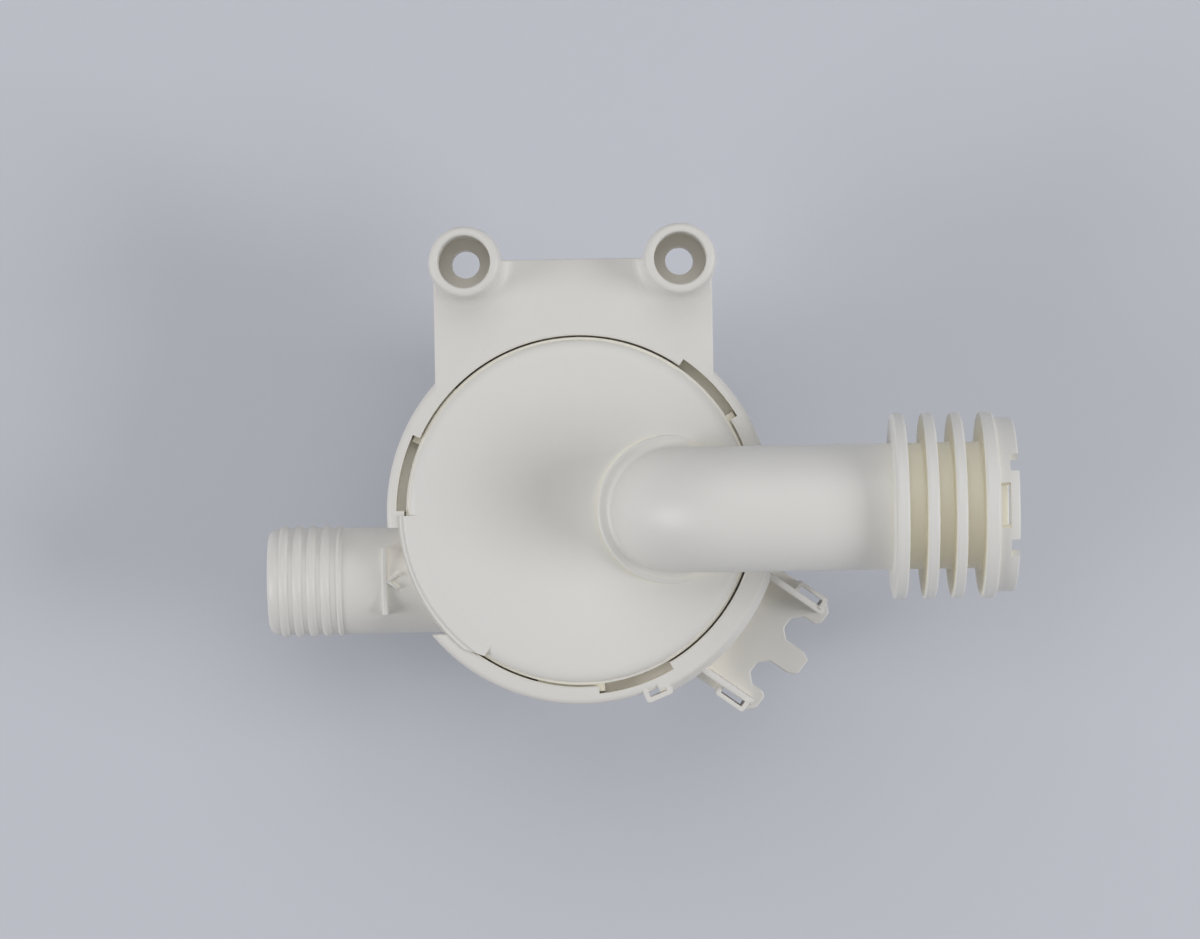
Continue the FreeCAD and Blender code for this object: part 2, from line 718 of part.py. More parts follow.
def collar_cuts():
    reach = END_R + CUT_REACH
    inner = (TUBE_R + END_R - END_WALL) / 2
    cuts = []
    for top in (0, HALF_TURN):
        for side in (-1, 1):
            ends = sorted((top + side * NOTCH_FROM, top + side * NOTCH_TO))
            cuts.append(wedge_on_tube(
                ends[0], ends[1], reach, inner, TUBE_END - NOTCH_BACK, TUBE_END
            ))
    slot_x = FINS[-1][1] + SLOT_SETBACK
    cuts.append(wedge_on_tube(-SLOT_HALF, SLOT_HALF, reach, inner, slot_x, slot_x + SLOT_LENGTH))
    return cuts


def inlet_tube():
    return lathe_along_x(tube_outline(), 0, TUBE_Z).cut(collar_cuts())


def cover_lugs():
    lugs = []
    for angle in WINDOW_ANGLES:
        start = angle - TWIST - LUG_SPAN / 2
        lugs.append(sector(
            LUG_R, CHAMBER_R - SKIRT_T / 2, start, start + LUG_SPAN, LUG_BOTTOM, LUG_BOTTOM + LUG_T
        ))
    return lugs


def port_seal_radii():
    middle = (PORT_R + TUBE_R) / 2
    return middle + PORT_SEAL_T / 2, middle - PORT_SEAL_T / 2


def cover():
    outer, inner = port_seal_radii()
    stub_z = DISC_TOP + DISC_GAP + PORT_SEAL_LAND
    under = DISH_Z - COVER_T / 2
    flange = sector(FLANGE_R, CREST_R, FLANGE_FROM, FLANGE_TO, RIM_Z + FLANGE_LIFT, CREST_Z)
    collar = disc(COLLAR_R, under, CREST_Z - COLLAR_DROP, PORT_X, 0)
    solids = [cover_shell(), flange, collar, disc(TUBE_R, stub_z, under, PORT_X, 0)]
    solids += [disc(TIP_BOSS_R, TIP_BOSS_Z, under), elbow(TUBE_R, under), inlet_tube()]
    solids += cover_lugs()
    shape = solids[0].multiFuse(solids[1:])
    seal_z = DISC_TOP + DISC_GAP
    groove = ring(outer + RUN_FIT, inner - RUN_FIT, seal_z, seal_z + PORT_SEAL_H, PORT_X, 0)
    bore = disc(TIP_R + RUN_FIT, TIP_BOSS_Z, DISC_TOP + TIP_LENGTH + TIP_END_GAP)
    return shape.cut([elbow(PORT_R, stub_z), groove, bore]).removeSplitter()


def cover_seal():
    major = CHAMBER_R - RING_SQUEEZE_GAP - RING_MINOR
    groove_z0, groove_z1 = groove_heights()
    middle = (groove_z0 + groove_z1) / 2
    section = [
        (major + RING_MINOR * math.cos(turn), middle + RING_MINOR * math.sin(turn))
        for turn in [math.tau * i / RING_SIDES for i in range(RING_SIDES)]
    ]
    return lathe(section)


def port_seal():
    outer, inner = port_seal_radii()
    bottom = DISC_TOP + DISC_GAP
    return ring(outer, inner, bottom, bottom + PORT_SEAL_H, PORT_X, 0)


# Shutter on its spindle


def flat_cut(radius, z0, z1):
    """What the flat takes off a shaft of this radius."""
    reach = radius + CUT_REACH
    return box(radius - SPINDLE_FLAT, reach, -reach, reach, z0, z1)


def hub_bottom():
    return SPINDLE_BOSS_Z + THRUST_GAP + THRUST_T


def gear_heights(layer):
    start = FIRST_WHEEL_Z + layer * LAYER_PITCH
    return start, start + WHEEL_T


def spindle():
    gear_z0, gear_z1 = gear_heights(2)
    bottom = gear_z0 - SPINDLE_BOTTOM_DROP
    shaft = disc(SPINDLE_R, bottom, DISC_TOP).fuse(disc(TIP_R, DISC_TOP, DISC_TOP + TIP_LENGTH))
    cuts = [
        flat_cut(SPINDLE_R, bottom, gear_z1 + SPINDLE_BOTTOM_DROP),
        flat_cut(SPINDLE_R, hub_bottom(), DISC_TOP),
        ring(TIP_R + CUT_REACH, TIP_R - CLIP_GROOVE, CLIP_Z, CLIP_Z + CLIP_T),
    ]
    return shaft.cut(cuts).removeSplitter()


def keyed_bore(z0, z1):
    """A bore with a flat that fits the spindle."""
    radius = SPINDLE_R + SEAT_FIT
    return disc(radius, z0, z1).cut(flat_cut(radius, z0, z1))


def shutter_disc():
    bottom = hub_bottom()
    solids = [disc(DISC_R, DISC_Z, DISC_TOP), disc(HUB_R, bottom, DISC_Z)]
    for i in range(DISC_RIB_COUNT):
        angle = (i + 0.5) * 360 / DISC_RIB_COUNT
        rib = box(0, DISC_RIB_R, -DISC_RIB_T / 2, DISC_RIB_T / 2, DISC_Z - DISC_RIB_H, DISC_Z)
        solids.append(turned(rib, angle))
    plate = solids[0].multiFuse(solids[1:])
    opening = disc(PORT_R, DISC_Z - DISC_RIB_H, DISC_TOP, 0, -PORT_X)
    return plate.cut([opening, keyed_bore(bottom, DISC_TOP)]).removeSplitter()


def shutter_clip():
    clip = ring(CLIP_R, TIP_R - CLIP_GROOVE + SEAT_FIT, CLIP_Z, CLIP_Z + CLIP_T)
    half = CLIP_OPENING / 2
    mouth = sector(CLIP_R + CUT_REACH, CLIP_GROOVE, -half, half, CLIP_Z, CLIP_Z + CLIP_T)
    return clip.cut(mouth)


def thrust_washer():
    bottom = SPINDLE_BOSS_Z + THRUST_GAP
    return ring(THRUST_R, SPINDLE_R + SEAT_FIT, bottom, bottom + THRUST_T)


def spindle_bush():
    return ring(BUSH_R, SPINDLE_R + RUN_FIT, FLOOR_Z, FLOOR_Z + BUSH_H)


def spindle_seal():
    """Lip seal: a rim with a web whose lip meets the spindle."""
    bottom = FLOOR_Z + BUSH_H + SEAL_AXIAL_GAP
    top = bottom + SEAL_H
    lip = SPINDLE_R + RUN_FIT
    return lathe([
        (SEAL_R, bottom), (SEAL_R, top), (SEAL_R - SEAL_RIM_T, top),
        (SEAL_R - SEAL_RIM_T, bottom + SEAL_WEB_T), (lip + SEAL_LIP_T, bottom + SEAL_WEB_T),
        (lip + SEAL_LIP_T, top - SEAL_LIP_BACK), (lip, top - SEAL_LIP_BACK), (lip, bottom),
    ])


def seal_washer():
    bottom = FLOOR_Z + BUSH_H + SEAL_AXIAL_GAP + SEAL_H
    return ring(SEAL_R, SPINDLE_R + RUN_FIT * 2, bottom, bottom + WASHER_H)


# Gear train


def involute(base, radius):
    """The angle by which an involute has turned at a radius."""
    ratio = max(radius / base, 1.0)
    slant = math.acos(1 / ratio)
    return math.tan(slant) - slant


def gear_outline(teeth, phase):
    """A spur gear's outline, with a tooth centred at the phase angle."""
    pitch = MODULE * teeth / 2
    base = pitch * math.cos(math.radians(PRESSURE_ANGLE))
    tip = pitch + ADDENDUM * MODULE
    root = pitch - DEDENDUM * MODULE
    half = math.pi / (2 * teeth) - BACKLASH / (2 * pitch)
    start = max(base, root)
    outline = []
    for i in range(teeth):
        centre = math.radians(phase) + 2 * math.pi * i / teeth
        flank = []
        for radius in (start, (start + tip) / 2, tip):
            lean = half + involute(base, pitch) - involute(base, radius)
            flank.append((radius, lean))
        flank.insert(0, (root, flank[0][1]))
        for radius, lean in flank:
            outline.append((radius * math.cos(centre - lean), radius * math.sin(centre - lean)))
        for radius, lean in reversed(flank):
            outline.append((radius * math.cos(centre + lean), radius * math.sin(centre + lean)))
    return outline


def gear(teeth, phase, z0, z1, place):
    solid = prism(gear_outline(teeth, phase), z0, z1)
    return solid.translated(Vector(place[0], place[1], 0))


def meshed_phase(phase, teeth, other_teeth, direction):
    """The phase of a gear whose partner lies the other way along direction."""
    offset = phase - direction
    return direction + HALF_TURN - offset * teeth / other_teeth + HALF_TURN / other_teeth


def direction(start, end):
    return math.degrees(math.atan2(end[1] - start[1], end[0] - start[0]))


def gear_places():
    """Axes of the output, second gear, first gear and rotor, in (u, v)."""
    output = (0.0, 0.0)
    rotor = (ROTOR_OFFSET, 0.0)
    turn = math.radians(SECOND_GEAR_ANGLE)
    second = (CENTRE_DISTANCE * math.cos(turn), CENTRE_DISTANCE * math.sin(turn))
    gap = math.hypot(rotor[0] - second[0], rotor[1] - second[1])
    middle = ((rotor[0] + second[0]) / 2, (rotor[1] + second[1]) / 2)
    height = math.sqrt(CENTRE_DISTANCE ** 2 - (gap / 2) ** 2)
    across = ((rotor[1] - second[1]) / gap, (second[0] - rotor[0]) / gap)
    first = (middle[0] - across[0] * height, middle[1] - across[1] * height)
    return {"output": output, "second": second, "first": first, "rotor": rotor}


def gear_phases():
    """Phase angles that put the whole train in mesh at rest."""
    places = gear_places()
    rotor = 0.0
    first = meshed_phase(
        rotor, PINION_TEETH, WHEEL_TEETH, direction(places["rotor"], places["first"])
    )
    second = meshed_phase(
        first, PINION_TEETH, WHEEL_TEETH, direction(places["first"], places["second"])
    )
    output = meshed_phase(
        second, PINION_TEETH, WHEEL_TEETH, direction(places["second"], places["output"])
    )
    return {"rotor": rotor, "first": first, "second": second, "output": output}


def axle_bore(place):
    return disc(AXLE_R + RUN_FIT, 0, CASE_H, place[0], place[1])


def compound_gear(name, layer):
    """A wheel with a pinion above it and hubs at both ends."""
    place = gear_places()[name]
    phase = gear_phases()[name]
    wheel_z0, wheel_z1 = gear_heights(layer)
    pinion_z1 = gear_heights(layer + 1)[1] + (LAYER_PITCH - WHEEL_T) / 4
    hub_z0 = GEAR_PLATE_Z + GEAR_PLATE_T + HUB_END_GAP
    solids = [
        gear(WHEEL_TEETH, phase, wheel_z0, wheel_z1, place),
        gear(PINION_TEETH, phase, wheel_z1, pinion_z1, place),
        disc(HUB_SMALL_R, min(hub_z0, wheel_z0), CASE_H - HUB_END_GAP, *place),
    ]
    shape = solids[0].multiFuse(solids[1:]).cut(axle_bore(place))
    return on_bracket_axis(shape.removeSplitter())


def output_gear():
    z0, z1 = gear_heights(2)
    wheel = on_bracket_axis(gear(WHEEL_TEETH, gear_phases()["output"], z0, z1, (0, 0)))
    return wheel.cut(keyed_bore(z0, z1))


def rotor_pinion():
    place = gear_places()["rotor"]
    top = gear_heights(0)[1] + (LAYER_PITCH - WHEEL_T) / 4
    magnet_top = MAGNET_Z + MAGNET_H
    solids = [
        disc(MAGNET_BORE, MAGNET_Z - HUB_END_GAP, magnet_top, *place),
        gear(PINION_TEETH, gear_phases()["rotor"], magnet_top, top, place),
        disc(HUB_SMALL_R, magnet_top, CASE_H - HUB_END_GAP, *place),
    ]
    shape = solids[0].multiFuse(solids[1:]).cut(axle_bore(place))
    return on_bracket_axis(shape.removeSplitter())


def rotor_magnet():
    place = gear_places()["rotor"]
    shape = ring(MAGNET_R, MAGNET_BORE, MAGNET_Z, MAGNET_Z + MAGNET_H, *place)
    return on_bracket_axis(shape)


def axle(name, start):
    place = gear_places()[name]
    return on_bracket_axis(disc(AXLE_R, start, CASE_H, *place))


def gear_plate():
    places = gear_places()
    top = GEAR_PLATE_Z + GEAR_PLATE_T
    plate = disc(CASE_R - CASE_WALL - CASE_GAP, GEAR_PLATE_Z, top, *places["rotor"])
    pinion_r = MODULE * (PINION_TEETH / 2 + 1) + CUT_REACH
    cuts = [disc(pinion_r, GEAR_PLATE_Z, top, *places["rotor"])]
    for name in ("first", "second"):
        cuts.append(disc(AXLE_R + SEAT_FIT, GEAR_PLATE_Z, top, *places[name]))
    return on_bracket_axis(plate.cut(cuts))


# Motor


def claw_radii():
    inner = MAGNET_R + CLAW_GAP
    return inner + CLAW_T, inner


def stator_plate(upper):
    """A ring with claws that reach between those of the other plate."""
    outer, inner = claw_radii()
    gap_low = CASE_WALL
    gap_high = GEAR_PLATE_Z - STATOR_GAP
    plate_z0 = gap_high - STATOR_T if upper else gap_low
    claw_z0 = gap_low + 2 * STATOR_T if upper else plate_z0
    claw_z1 = plate_z0 + STATOR_T if upper else gap_high - 2 * STATOR_T
    solids = [ring(CASE_R - CASE_WALL - CASE_GAP, inner, plate_z0, plate_z0 + STATOR_T)]
    shift = HALF_TURN / CLAW_COUNT if upper else 0
    for i in range(CLAW_COUNT):
        middle = shift + i * 360 / CLAW_COUNT
        claw = sector(
            outer, inner, middle - CLAW_SPAN / 2, middle + CLAW_SPAN / 2, claw_z0, claw_z1
        )
        solids.append(claw)
    shape = solids[0].multiFuse(solids[1:]).removeSplitter()
    return on_bracket_axis(shape.translated(Vector(ROTOR_OFFSET, 0, 0)))


def bobbin_heights():
    bottom = CASE_WALL + STATOR_T + STATOR_GAP
    return bottom, GEAR_PLATE_Z - 2 * STATOR_GAP - STATOR_T


def coil_bobbin():
    inner = claw_radii()[0] + STATOR_GAP
    core = inner + BOBBIN_WALL
    low, high = bobbin_heights()
    flange = WINDING_R + BOBBIN_WALL
    spool = lathe([
        (inner, low), (flange, low), (flange, low + BOBBIN_WALL), (core, low + BOBBIN_WALL),
        (core, high - BOBBIN_WALL), (flange, high - BOBBIN_WALL), (flange, high), (inner, high),
    ])
    return on_bracket_axis(spool.translated(Vector(ROTOR_OFFSET, 0, 0)))


def coil_winding():
    inner = claw_radii()[0] + STATOR_GAP + BOBBIN_WALL
    low, high = bobbin_heights()
    shape = ring(WINDING_R, inner, low + BOBBIN_WALL, high - BOBBIN_WALL, ROTOR_OFFSET, 0)
    return on_bracket_axis(shape)


def drive_case():
    can = disc(CASE_R, 0, CASE_H, ROTOR_OFFSET, 0)
    hollow = disc(CASE_R - CASE_WALL, CASE_WALL, CASE_H, ROTOR_OFFSET, 0)
    return on_bracket_axis(can.cut(hollow))


def drive_lid():
    solids = [disc(CASE_R, LID_Z, FLOOR_Z, ROTOR_OFFSET, 0)]
    for u, v in screw_places():
        solids.append(disc(EAR_R, LID_Z, FLOOR_Z, u, v))
        solids.append(box(u - EAR_R, u + EAR_R, min(0, v), max(0, v), LID_Z, FLOOR_Z))
    plate = solids[0].multiFuse(solids[1:]).removeSplitter()
    cuts = [disc(SPINDLE_R + EAR_HOLE_R, LID_Z, FLOOR_Z)]
    cuts += [disc(EAR_HOLE_R, LID_Z, FLOOR_Z, u, v) for u, v in screw_places()]
    return on_bracket_axis(plate.cut(cuts))


def drive_screws():
    """Both screws, as one group."""
    screws = []
    for u, v in screw_places():
        shank = disc(SCREW_R, LID_Z, LID_Z + SCREW_LENGTH, u, v)
        head = disc(SCREW_HEAD_R, LID_Z - SCREW_HEAD_H, LID_Z, u, v)
        slot = box(
            u - SCREW_HEAD_R, u + SCREW_HEAD_R, v - SCREW_SLOT_W / 2, v + SCREW_SLOT_W / 2,
            LID_Z - SCREW_HEAD_H, LID_Z - SCREW_HEAD_H / 2,
        )
        screws.append(on_bracket_axis(shank.fuse(head).removeSplitter().cut(slot)))
    return Part.makeCompound(screws)


def blade_slots(gap):
    middle = BLOCK_Z + BLOCK_H / 2
    start = ROTOR_OFFSET + CASE_R
    end = BLOCK_END - BLADE_SETBACK
    return [
        box(
            start, end, side * BLADE_V - BLADE_T / 2 - gap, side * BLADE_V + BLADE_T / 2 + gap,
            middle - BLADE_W / 2 - gap, middle + BLADE_W / 2 + gap,
        )
        for side in (-1, 1)
    ]


def terminal_block():
    top = BLOCK_Z + BLOCK_H
    block = box(ROTOR_OFFSET, BLOCK_END, -BLOCK_HALF, BLOCK_HALF, BLOCK_Z, top)
    inside = BLOCK_HALF - BLOCK_WALL
    pocket = box(
        BLOCK_END - POCKET_DEPTH, BLOCK_END, -inside, inside, BLOCK_Z + BLOCK_WALL, top - BLOCK_WALL
    )
    can = disc(CASE_R, 0, CASE_H, ROTOR_OFFSET, 0)
    return on_bracket_axis(block.cut([can, pocket] + blade_slots(SEAT_FIT)))


def terminal_blades():
    """Both blades, as one group."""
    return Part.makeCompound([on_bracket_axis(blade) for blade in blade_slots(0)])


def sub_parts():
    first_z = GEAR_PLATE_Z
    return {
        "valve_body": valve_body(),
        "chamber_floor": chamber_floor(),
        "mounting_plate": mounting_plate(),
        "wire_bracket": wire_bracket(),
        "hose_spigot": hose_spigot(),
        "cover": cover(),
        "cover_seal": cover_seal(),
        "port_seal": port_seal(),
        "shutter_disc": shutter_disc(),
        "spindle": spindle(),
        "shutter_clip": shutter_clip(),
        "thrust_washer": thrust_washer(),
        "spindle_bush": spindle_bush(),
        "spindle_seal": spindle_seal(),
        "seal_washer": seal_washer(),
        "output_gear": output_gear(),
        "second_gear": compound_gear("second", 1),
        "first_gear": compound_gear("first", 0),
        "rotor_pinion": rotor_pinion(),
        "rotor_magnet": rotor_magnet(),
        "rotor_axle": axle("rotor", CASE_WALL),
        "first_gear_axle": axle("first", first_z),
        "second_gear_axle": axle("second", first_z),
        "gear_plate": gear_plate(),
        "stator_lower_plate": stator_plate(False),
        "stator_upper_plate": stator_plate(True),
        "coil_bobbin": coil_bobbin(),
        "coil_winding": coil_winding(),
        "drive_case": drive_case(),
        "drive_lid": drive_lid(),
        "drive_screws": drive_screws(),
        "terminal_block": terminal_block(),
        "terminal_blades": terminal_blades(),
    }


os.makedirs("parts", exist_ok=True)
for name, shape in sub_parts().items():
    shape.exportStep("parts/" + name + ".step")
    print(name, "solids", len(shape.Solids), "valid", shape.isValid(), "mm3", round(shape.Volume, 1))
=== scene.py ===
"""Drain valve with a turning shutter: the pieces that show, their finishes and a plain studio."""

import json
import math

import bmesh
import bpy
from bmesh.types import BMEdge, BMVert
from bpy.props import FloatProperty, FloatVectorProperty, IntProperty, PointerProperty
from bpy.types import Operator, Panel, PropertyGroup
from mathutils import Matrix, Vector


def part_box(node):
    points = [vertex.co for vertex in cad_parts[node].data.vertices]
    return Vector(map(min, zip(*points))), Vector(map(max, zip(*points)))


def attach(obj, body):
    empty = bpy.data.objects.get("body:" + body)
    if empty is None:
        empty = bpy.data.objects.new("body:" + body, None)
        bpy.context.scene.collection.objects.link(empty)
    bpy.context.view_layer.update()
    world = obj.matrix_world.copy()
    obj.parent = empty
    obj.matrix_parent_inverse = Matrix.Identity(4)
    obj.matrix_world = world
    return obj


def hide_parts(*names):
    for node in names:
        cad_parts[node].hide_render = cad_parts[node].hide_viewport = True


bl_info = {
    "name": "Drain Valve",
    "version": (1, 0, 0),
    "blender": (4, 5, 0),
    "location": "View3D > Sidebar > Drain Valve",
    "description": "Builds a motor-driven drain valve with its cover, inlet, outlet and drive",
    "category": "Object",
}

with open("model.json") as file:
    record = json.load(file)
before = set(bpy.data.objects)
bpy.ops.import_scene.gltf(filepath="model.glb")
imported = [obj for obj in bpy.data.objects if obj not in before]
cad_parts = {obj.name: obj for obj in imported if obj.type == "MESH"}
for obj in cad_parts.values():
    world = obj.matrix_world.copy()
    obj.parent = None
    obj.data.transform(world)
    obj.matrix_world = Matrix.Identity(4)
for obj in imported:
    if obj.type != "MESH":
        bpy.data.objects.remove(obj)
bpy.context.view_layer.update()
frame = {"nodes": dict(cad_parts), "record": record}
BODY_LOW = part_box("valve_body")[0]
PLATE_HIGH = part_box("mounting_plate")[1]
SPIGOT_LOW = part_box("hose_spigot")[0]
COVER_LOW, COVER_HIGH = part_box("cover")

MM = 0.001
MERGE = 0.0005 * MM
AXIS_X = Vector((1, 0, 0))
AXIS_Y = Vector((0, 1, 0))
AXIS_Z = Vector((0, 0, 1))

# Roundings of a moulding's edges
FINE = 0.2 * MM
SOFT = 0.3 * MM
ROUND = 0.5 * MM
FULL = 0.8 * MM

# Values that several pieces share
WINDOW_MIDDLES = [math.radians(turn) for turn in (42.5, 166.8, 287.4)]
PLATE_EDGE = 0.35 * MM
PASSAGE_END = -15 * MM
LUG_BOTTOM = 45.4 * MM


def length(name, millimetres, description):
    return FloatProperty(
        name=name, description=description, default=millimetres * MM, precision=5, unit="LENGTH"
    )


def angle(name, degrees, description):
    return FloatProperty(
        name=name, description=description, default=math.radians(degrees), subtype="ANGLE"
    )


def colour(name, default, description):
    return FloatVectorProperty(
        name=name, description=description, default=default, size=3, min=0, max=1,
        subtype="COLOR",
    )


def power(name, default, description):
    return FloatProperty(name=name, description=description, default=default, unit="POWER")


# Sizes and colours that a user would change


class BodySizes(PropertyGroup):
    rim_top: length("Rim face", 50.0, "Height of the rim's face")
    rim_radius: length("Rim radius", 34.3, "Outer radius of the rim")
    rim_depth: length("Rim depth", 6.0, "Height of the rim's side")
    seat_radius: length("Seat radius", 31.2, "Radius of the opening round the cover")
    seat_depth: length("Seat depth", 4.8, "Depth of the seat below the rim's face")
    lip: length("Lip", 1.8, "Thickness of the lip over the locking channel")
    channel_radius: length("Channel radius", 32.6, "Outer radius of the locking channel")
    window_span: angle("Window span", 24.5, "Width of each entry window")
    channel_run: angle("Channel run", 20.55, "Length of the channel past each window")
    chamber_radius: length("Chamber radius", 29.8, "Radius of the water chamber")
    wall: length("Wall", 2.5, "Thickness of the chamber's wall and floor")
    band_reach: length("Band", 1.7, "How far a band widens the rim")


class PlateSizes(PropertyGroup):
    middle_x: length("Middle", -0.6, "Place of the plate's middle along X")
    half_width: length("Half width", 24.7, "Half of the plate's width")
    reach: length("Reach", PLATE_HIGH.y / MM - 6.05, "Distance of the far edge from the axis")
    thickness: length("Thickness", 3.0, "Thickness of the plate")
    hole_spacing: length("Hole spacing", 38.0, "Distance between the two screw bosses")
    boss_radius: length("Boss radius", 6.55, "Outer radius of each boss at the plate")
    boss_taper: length("Boss taper", 0.42, "How much narrower a boss is at its top")
    boss_top: length("Boss top", PLATE_HIGH.z / MM, "Height of the bosses' tops")
    boss_depth: length("Boss depth", 16.0, "Height of each boss")
    recess_radius: length("Recess radius", 4.6, "Radius of the screw head's recess")
    recess_depth: length("Recess depth", 11.0, "Depth of the screw head's recess")
    hole_radius: length("Hole radius", 2.5, "Radius of the screw hole")
    foot: length("Foot", 2.0, "Fillet from a boss to the plate")


class OutletSizes(PropertyGroup):
    nose_x: length("Nose", SPIGOT_LOW.x / MM, "Place of the spigot's end along X")
    y: length("Y", -12.0, "Place of the spigot's axis along Y")
    z: length("Z", 34.5, "Height of the spigot's axis")
    radius: length("Radius", 9.6, "Outer radius of the spigot")
    bore: length("Bore", 7.6, "Radius of the bore")
    throat: length("Throat", 6.6, "Radius of the passage into the chamber")
    bore_depth: length("Bore depth", 20.0, "Length of the wide bore")
    ridge: length("Ridge", 0.45, "Height of the hose ridges")
    ridge_pitch: length("Ridge pitch", 2.5, "Distance between the hose ridges")
    ridge_inset: length("Ridge inset", 2.9, "Distance of the first ridge from the nose")
    ridge_count: IntProperty(name="Ridges", description="Number of hose ridges", default=5)
    stop_inset: length("Stop", 21.2, "Distance of the hose stop from the nose")
    stop_half: length("Stop width", 6.1, "Half of the width of the hose stop")


class BracketSizes(PropertyGroup):
    direction: angle("Direction", -35.5, "Direction of the bracket from the axis")
    floor_z: length("Floor", 36.0, "Height of the floor's underside")
    floor_thickness: length("Floor thickness", 2.0, "Thickness of the floor")
    middle: length("Middle", -0.6, "Shift of the bracket sideways")
    half_width: length("Half width", 12.3, "Half of the floor's width")
    setback: FloatProperty(name="Setback", description="Slant of the bracket's end", default=0.05)
    notch: length("Notch", 42.0, "Distance of the notches' ends")
    lobe: length("Lobe", 49.0, "Distance of the middle lobe's end")
    foot: length("Foot", 46.8, "Distance of the outer lobes' ends")
    wall_v: length("Wall place", 9.6, "Distance of the side walls from the middle")
    wall_thickness: length("Wall thickness", 1.2, "Thickness of the side walls")
    wall_end: length("Wall end", 45.5, "Distance of the side walls' ends")
    tie_place: length("Tie place", 41.9, "Distance of the tie loops")
    strap: length("Strap", 0.8, "Thickness of the tie loops")


class CoverSizes(PropertyGroup):
    radius: length("Radius", 30.4, "Radius of the cover")
    ledge_radius: length("Ledge radius", 30.85, "Radius of the ledge below the edge")
    crest_radius: length("Crest radius", 28.0, "Radius of the cover's highest line")
    crest_z: length("Crest height", 51.0, "Height of the cover's highest line")
    turn_radius: length("Turn radius", 18.0, "Radius at which the dish turns to a crown")
    dish_depth: length("Dish depth", 3.7, "Depth of the dish below the crest")
    edge_drop: length("Edge drop", 1.5, "Height of the rounded edge")
    thickness: length("Thickness", 2.4, "Thickness of the cover")
    skirt_bottom: length("Skirt", COVER_LOW.z / MM, "Height of the skirt's lower edge")
    flange_radius: length("Flange radius", 32.0, "Outer radius of the stop flange")


class InletSizes(PropertyGroup):
    port_x: length("Port", 16.4, "Distance of the port's axis from the cover's")
    radius: length("Radius", 11.0, "Outer radius of the tube")
    wall: length("Wall", 2.5, "Thickness of the tube's wall")
    collar_step: length("Elbow collar", 2.3, "Width of the collar at the elbow's foot")
    axis_z: length("Axis height", 63.0, "Height of the tube's axis")
    bend: length("Bend", 12.0, "Radius of the elbow's middle line")
    end_x: length("End", COVER_HIGH.x / MM, "Place of the end collar's rim along X")
    fin_radius: length("Fin radius", COVER_HIGH.z / MM - 63.0, "Outer radius of the fins")
    collar_radius: length("Collar radius", 15.1, "Outer radius of the end collar")
    collar_wall: length("Collar wall", 2.0, "Thickness of the end collar's wall")


class FinishColours(PropertyGroup):
    body: colour("Body", (0.72, 0.70, 0.66), "Plastic of the valve body")
    cover: colour("Cover", (0.735, 0.72, 0.685), "Plastic of the cover")
    # Painted light: the two colours below are painted into the body's and cover's hollows,
    # standing in for light that shines through and bounces inside the plastic.
    body_painted_hollow_light: colour("Body painted hollow light", (0.96, 0.93, 0.86), "Body where light shines through")
    cover_painted_hollow_light: colour("Cover painted hollow light", (0.96, 0.92, 0.785), "Cover where light shines through")
    rubber: colour("Rubber", (0.035, 0.035, 0.037), "Rubber of the seals")
    acetal: colour("Acetal", (0.86, 0.86, 0.84), "Plastic of the gears and the shutter")
    nylon: colour("Nylon", (0.03, 0.03, 0.032), "Plastic of the terminal block")
    zinc: colour("Zinc", (0.62, 0.63, 0.66), "Plated steel of the drive")
    floor: colour("Floor", (0.58, 0.592, 0.64), "Surface that the valve stands on")


class StudioSettings(PropertyGroup):
    camera_place: FloatVectorProperty(
        name="Camera", description="Place of the camera", unit="LENGTH",
        default=(3.67 * MM, 7.3 * MM, 813.0 * MM),
    )
    camera_turn: angle("Camera turn", -1.0, "Turn of the camera about its line of sight")
    focal_length: FloatProperty(
        name="Focal length", description="Focal length on a 36 mm sensor", default=129.15,
        unit="CAMERA",
    )
    right_power: power("Right lamp", 4.7, "Power of the lamp at the right")
    left_power: power("Left lamp", 4.7, "Power of the lamp at the left")
    top_power: power("Top lamp", 4.1, "Power of the wide lamp overhead")
    light_colour: colour("Light", (0.97, 0.98, 1.0), "Colour of the lamps and surroundings")
    world_light: FloatProperty(
        name="Surroundings", description="Strength of the light from all round", default=0.315
    )


# Shapes


def placed_upright(x=0.0, y=0.0):
    """Where a (radius, height) corner goes for a shape turned about a vertical axis."""
    return lambda radius, height: Vector((x + radius, y, height))


def placed_lengthways(y, z):
    """Where an (x, radius) corner goes for a shape turned about a line along X."""
    return lambda x, radius: Vector((x, y, z + radius))


def rounded(shape, geom, radius, segments, affect):
    bmesh.ops.bevel(
        shape, geom=geom, offset=radius, offset_type="OFFSET", segments=segments,
        profile=0.5, affect=affect, material=-1,
    )


def add_outline(shape, corners, place):
    """A face with (across, up) corners, and a third number for a corner that is rounded."""
    verts = [shape.verts.new(place(*corner[:2])) for corner in corners]
    shape.faces.new(verts)
    roundings = [corner[2] if len(corner) > 2 else 0 for corner in corners]
    for rounding in sorted(set(roundings) - {0}):
        chosen = [v for v, r in zip(verts, roundings) if r == rounding]
        rounded(shape, chosen, rounding, 4, "VERTICES")


def only(geom, kind):
    return [item for item in geom if isinstance(item, kind)]


def rectangle(left, right, bottom, top):
    """An outline with four sharp corners."""
    return [(left, bottom), (right, bottom), (right, top), (left, top)]


def cleaned(shape):
    """A shape with its doubles merged and its faces turned outwards."""
    bmesh.ops.remove_doubles(shape, verts=shape.verts[:], dist=MERGE)
    bmesh.ops.dissolve_degenerate(shape, edges=shape.edges[:], dist=MERGE)
    bmesh.ops.recalc_face_normals(shape, faces=shape.faces[:])
    return shape


def turned(corners, centre=(0, 0), steps=144):
    """A closed shape turned from (radius, height) corners about a vertical line."""
    return full_turn(corners, placed_upright(*centre), Vector((*centre, 0)), AXIS_Z, steps)


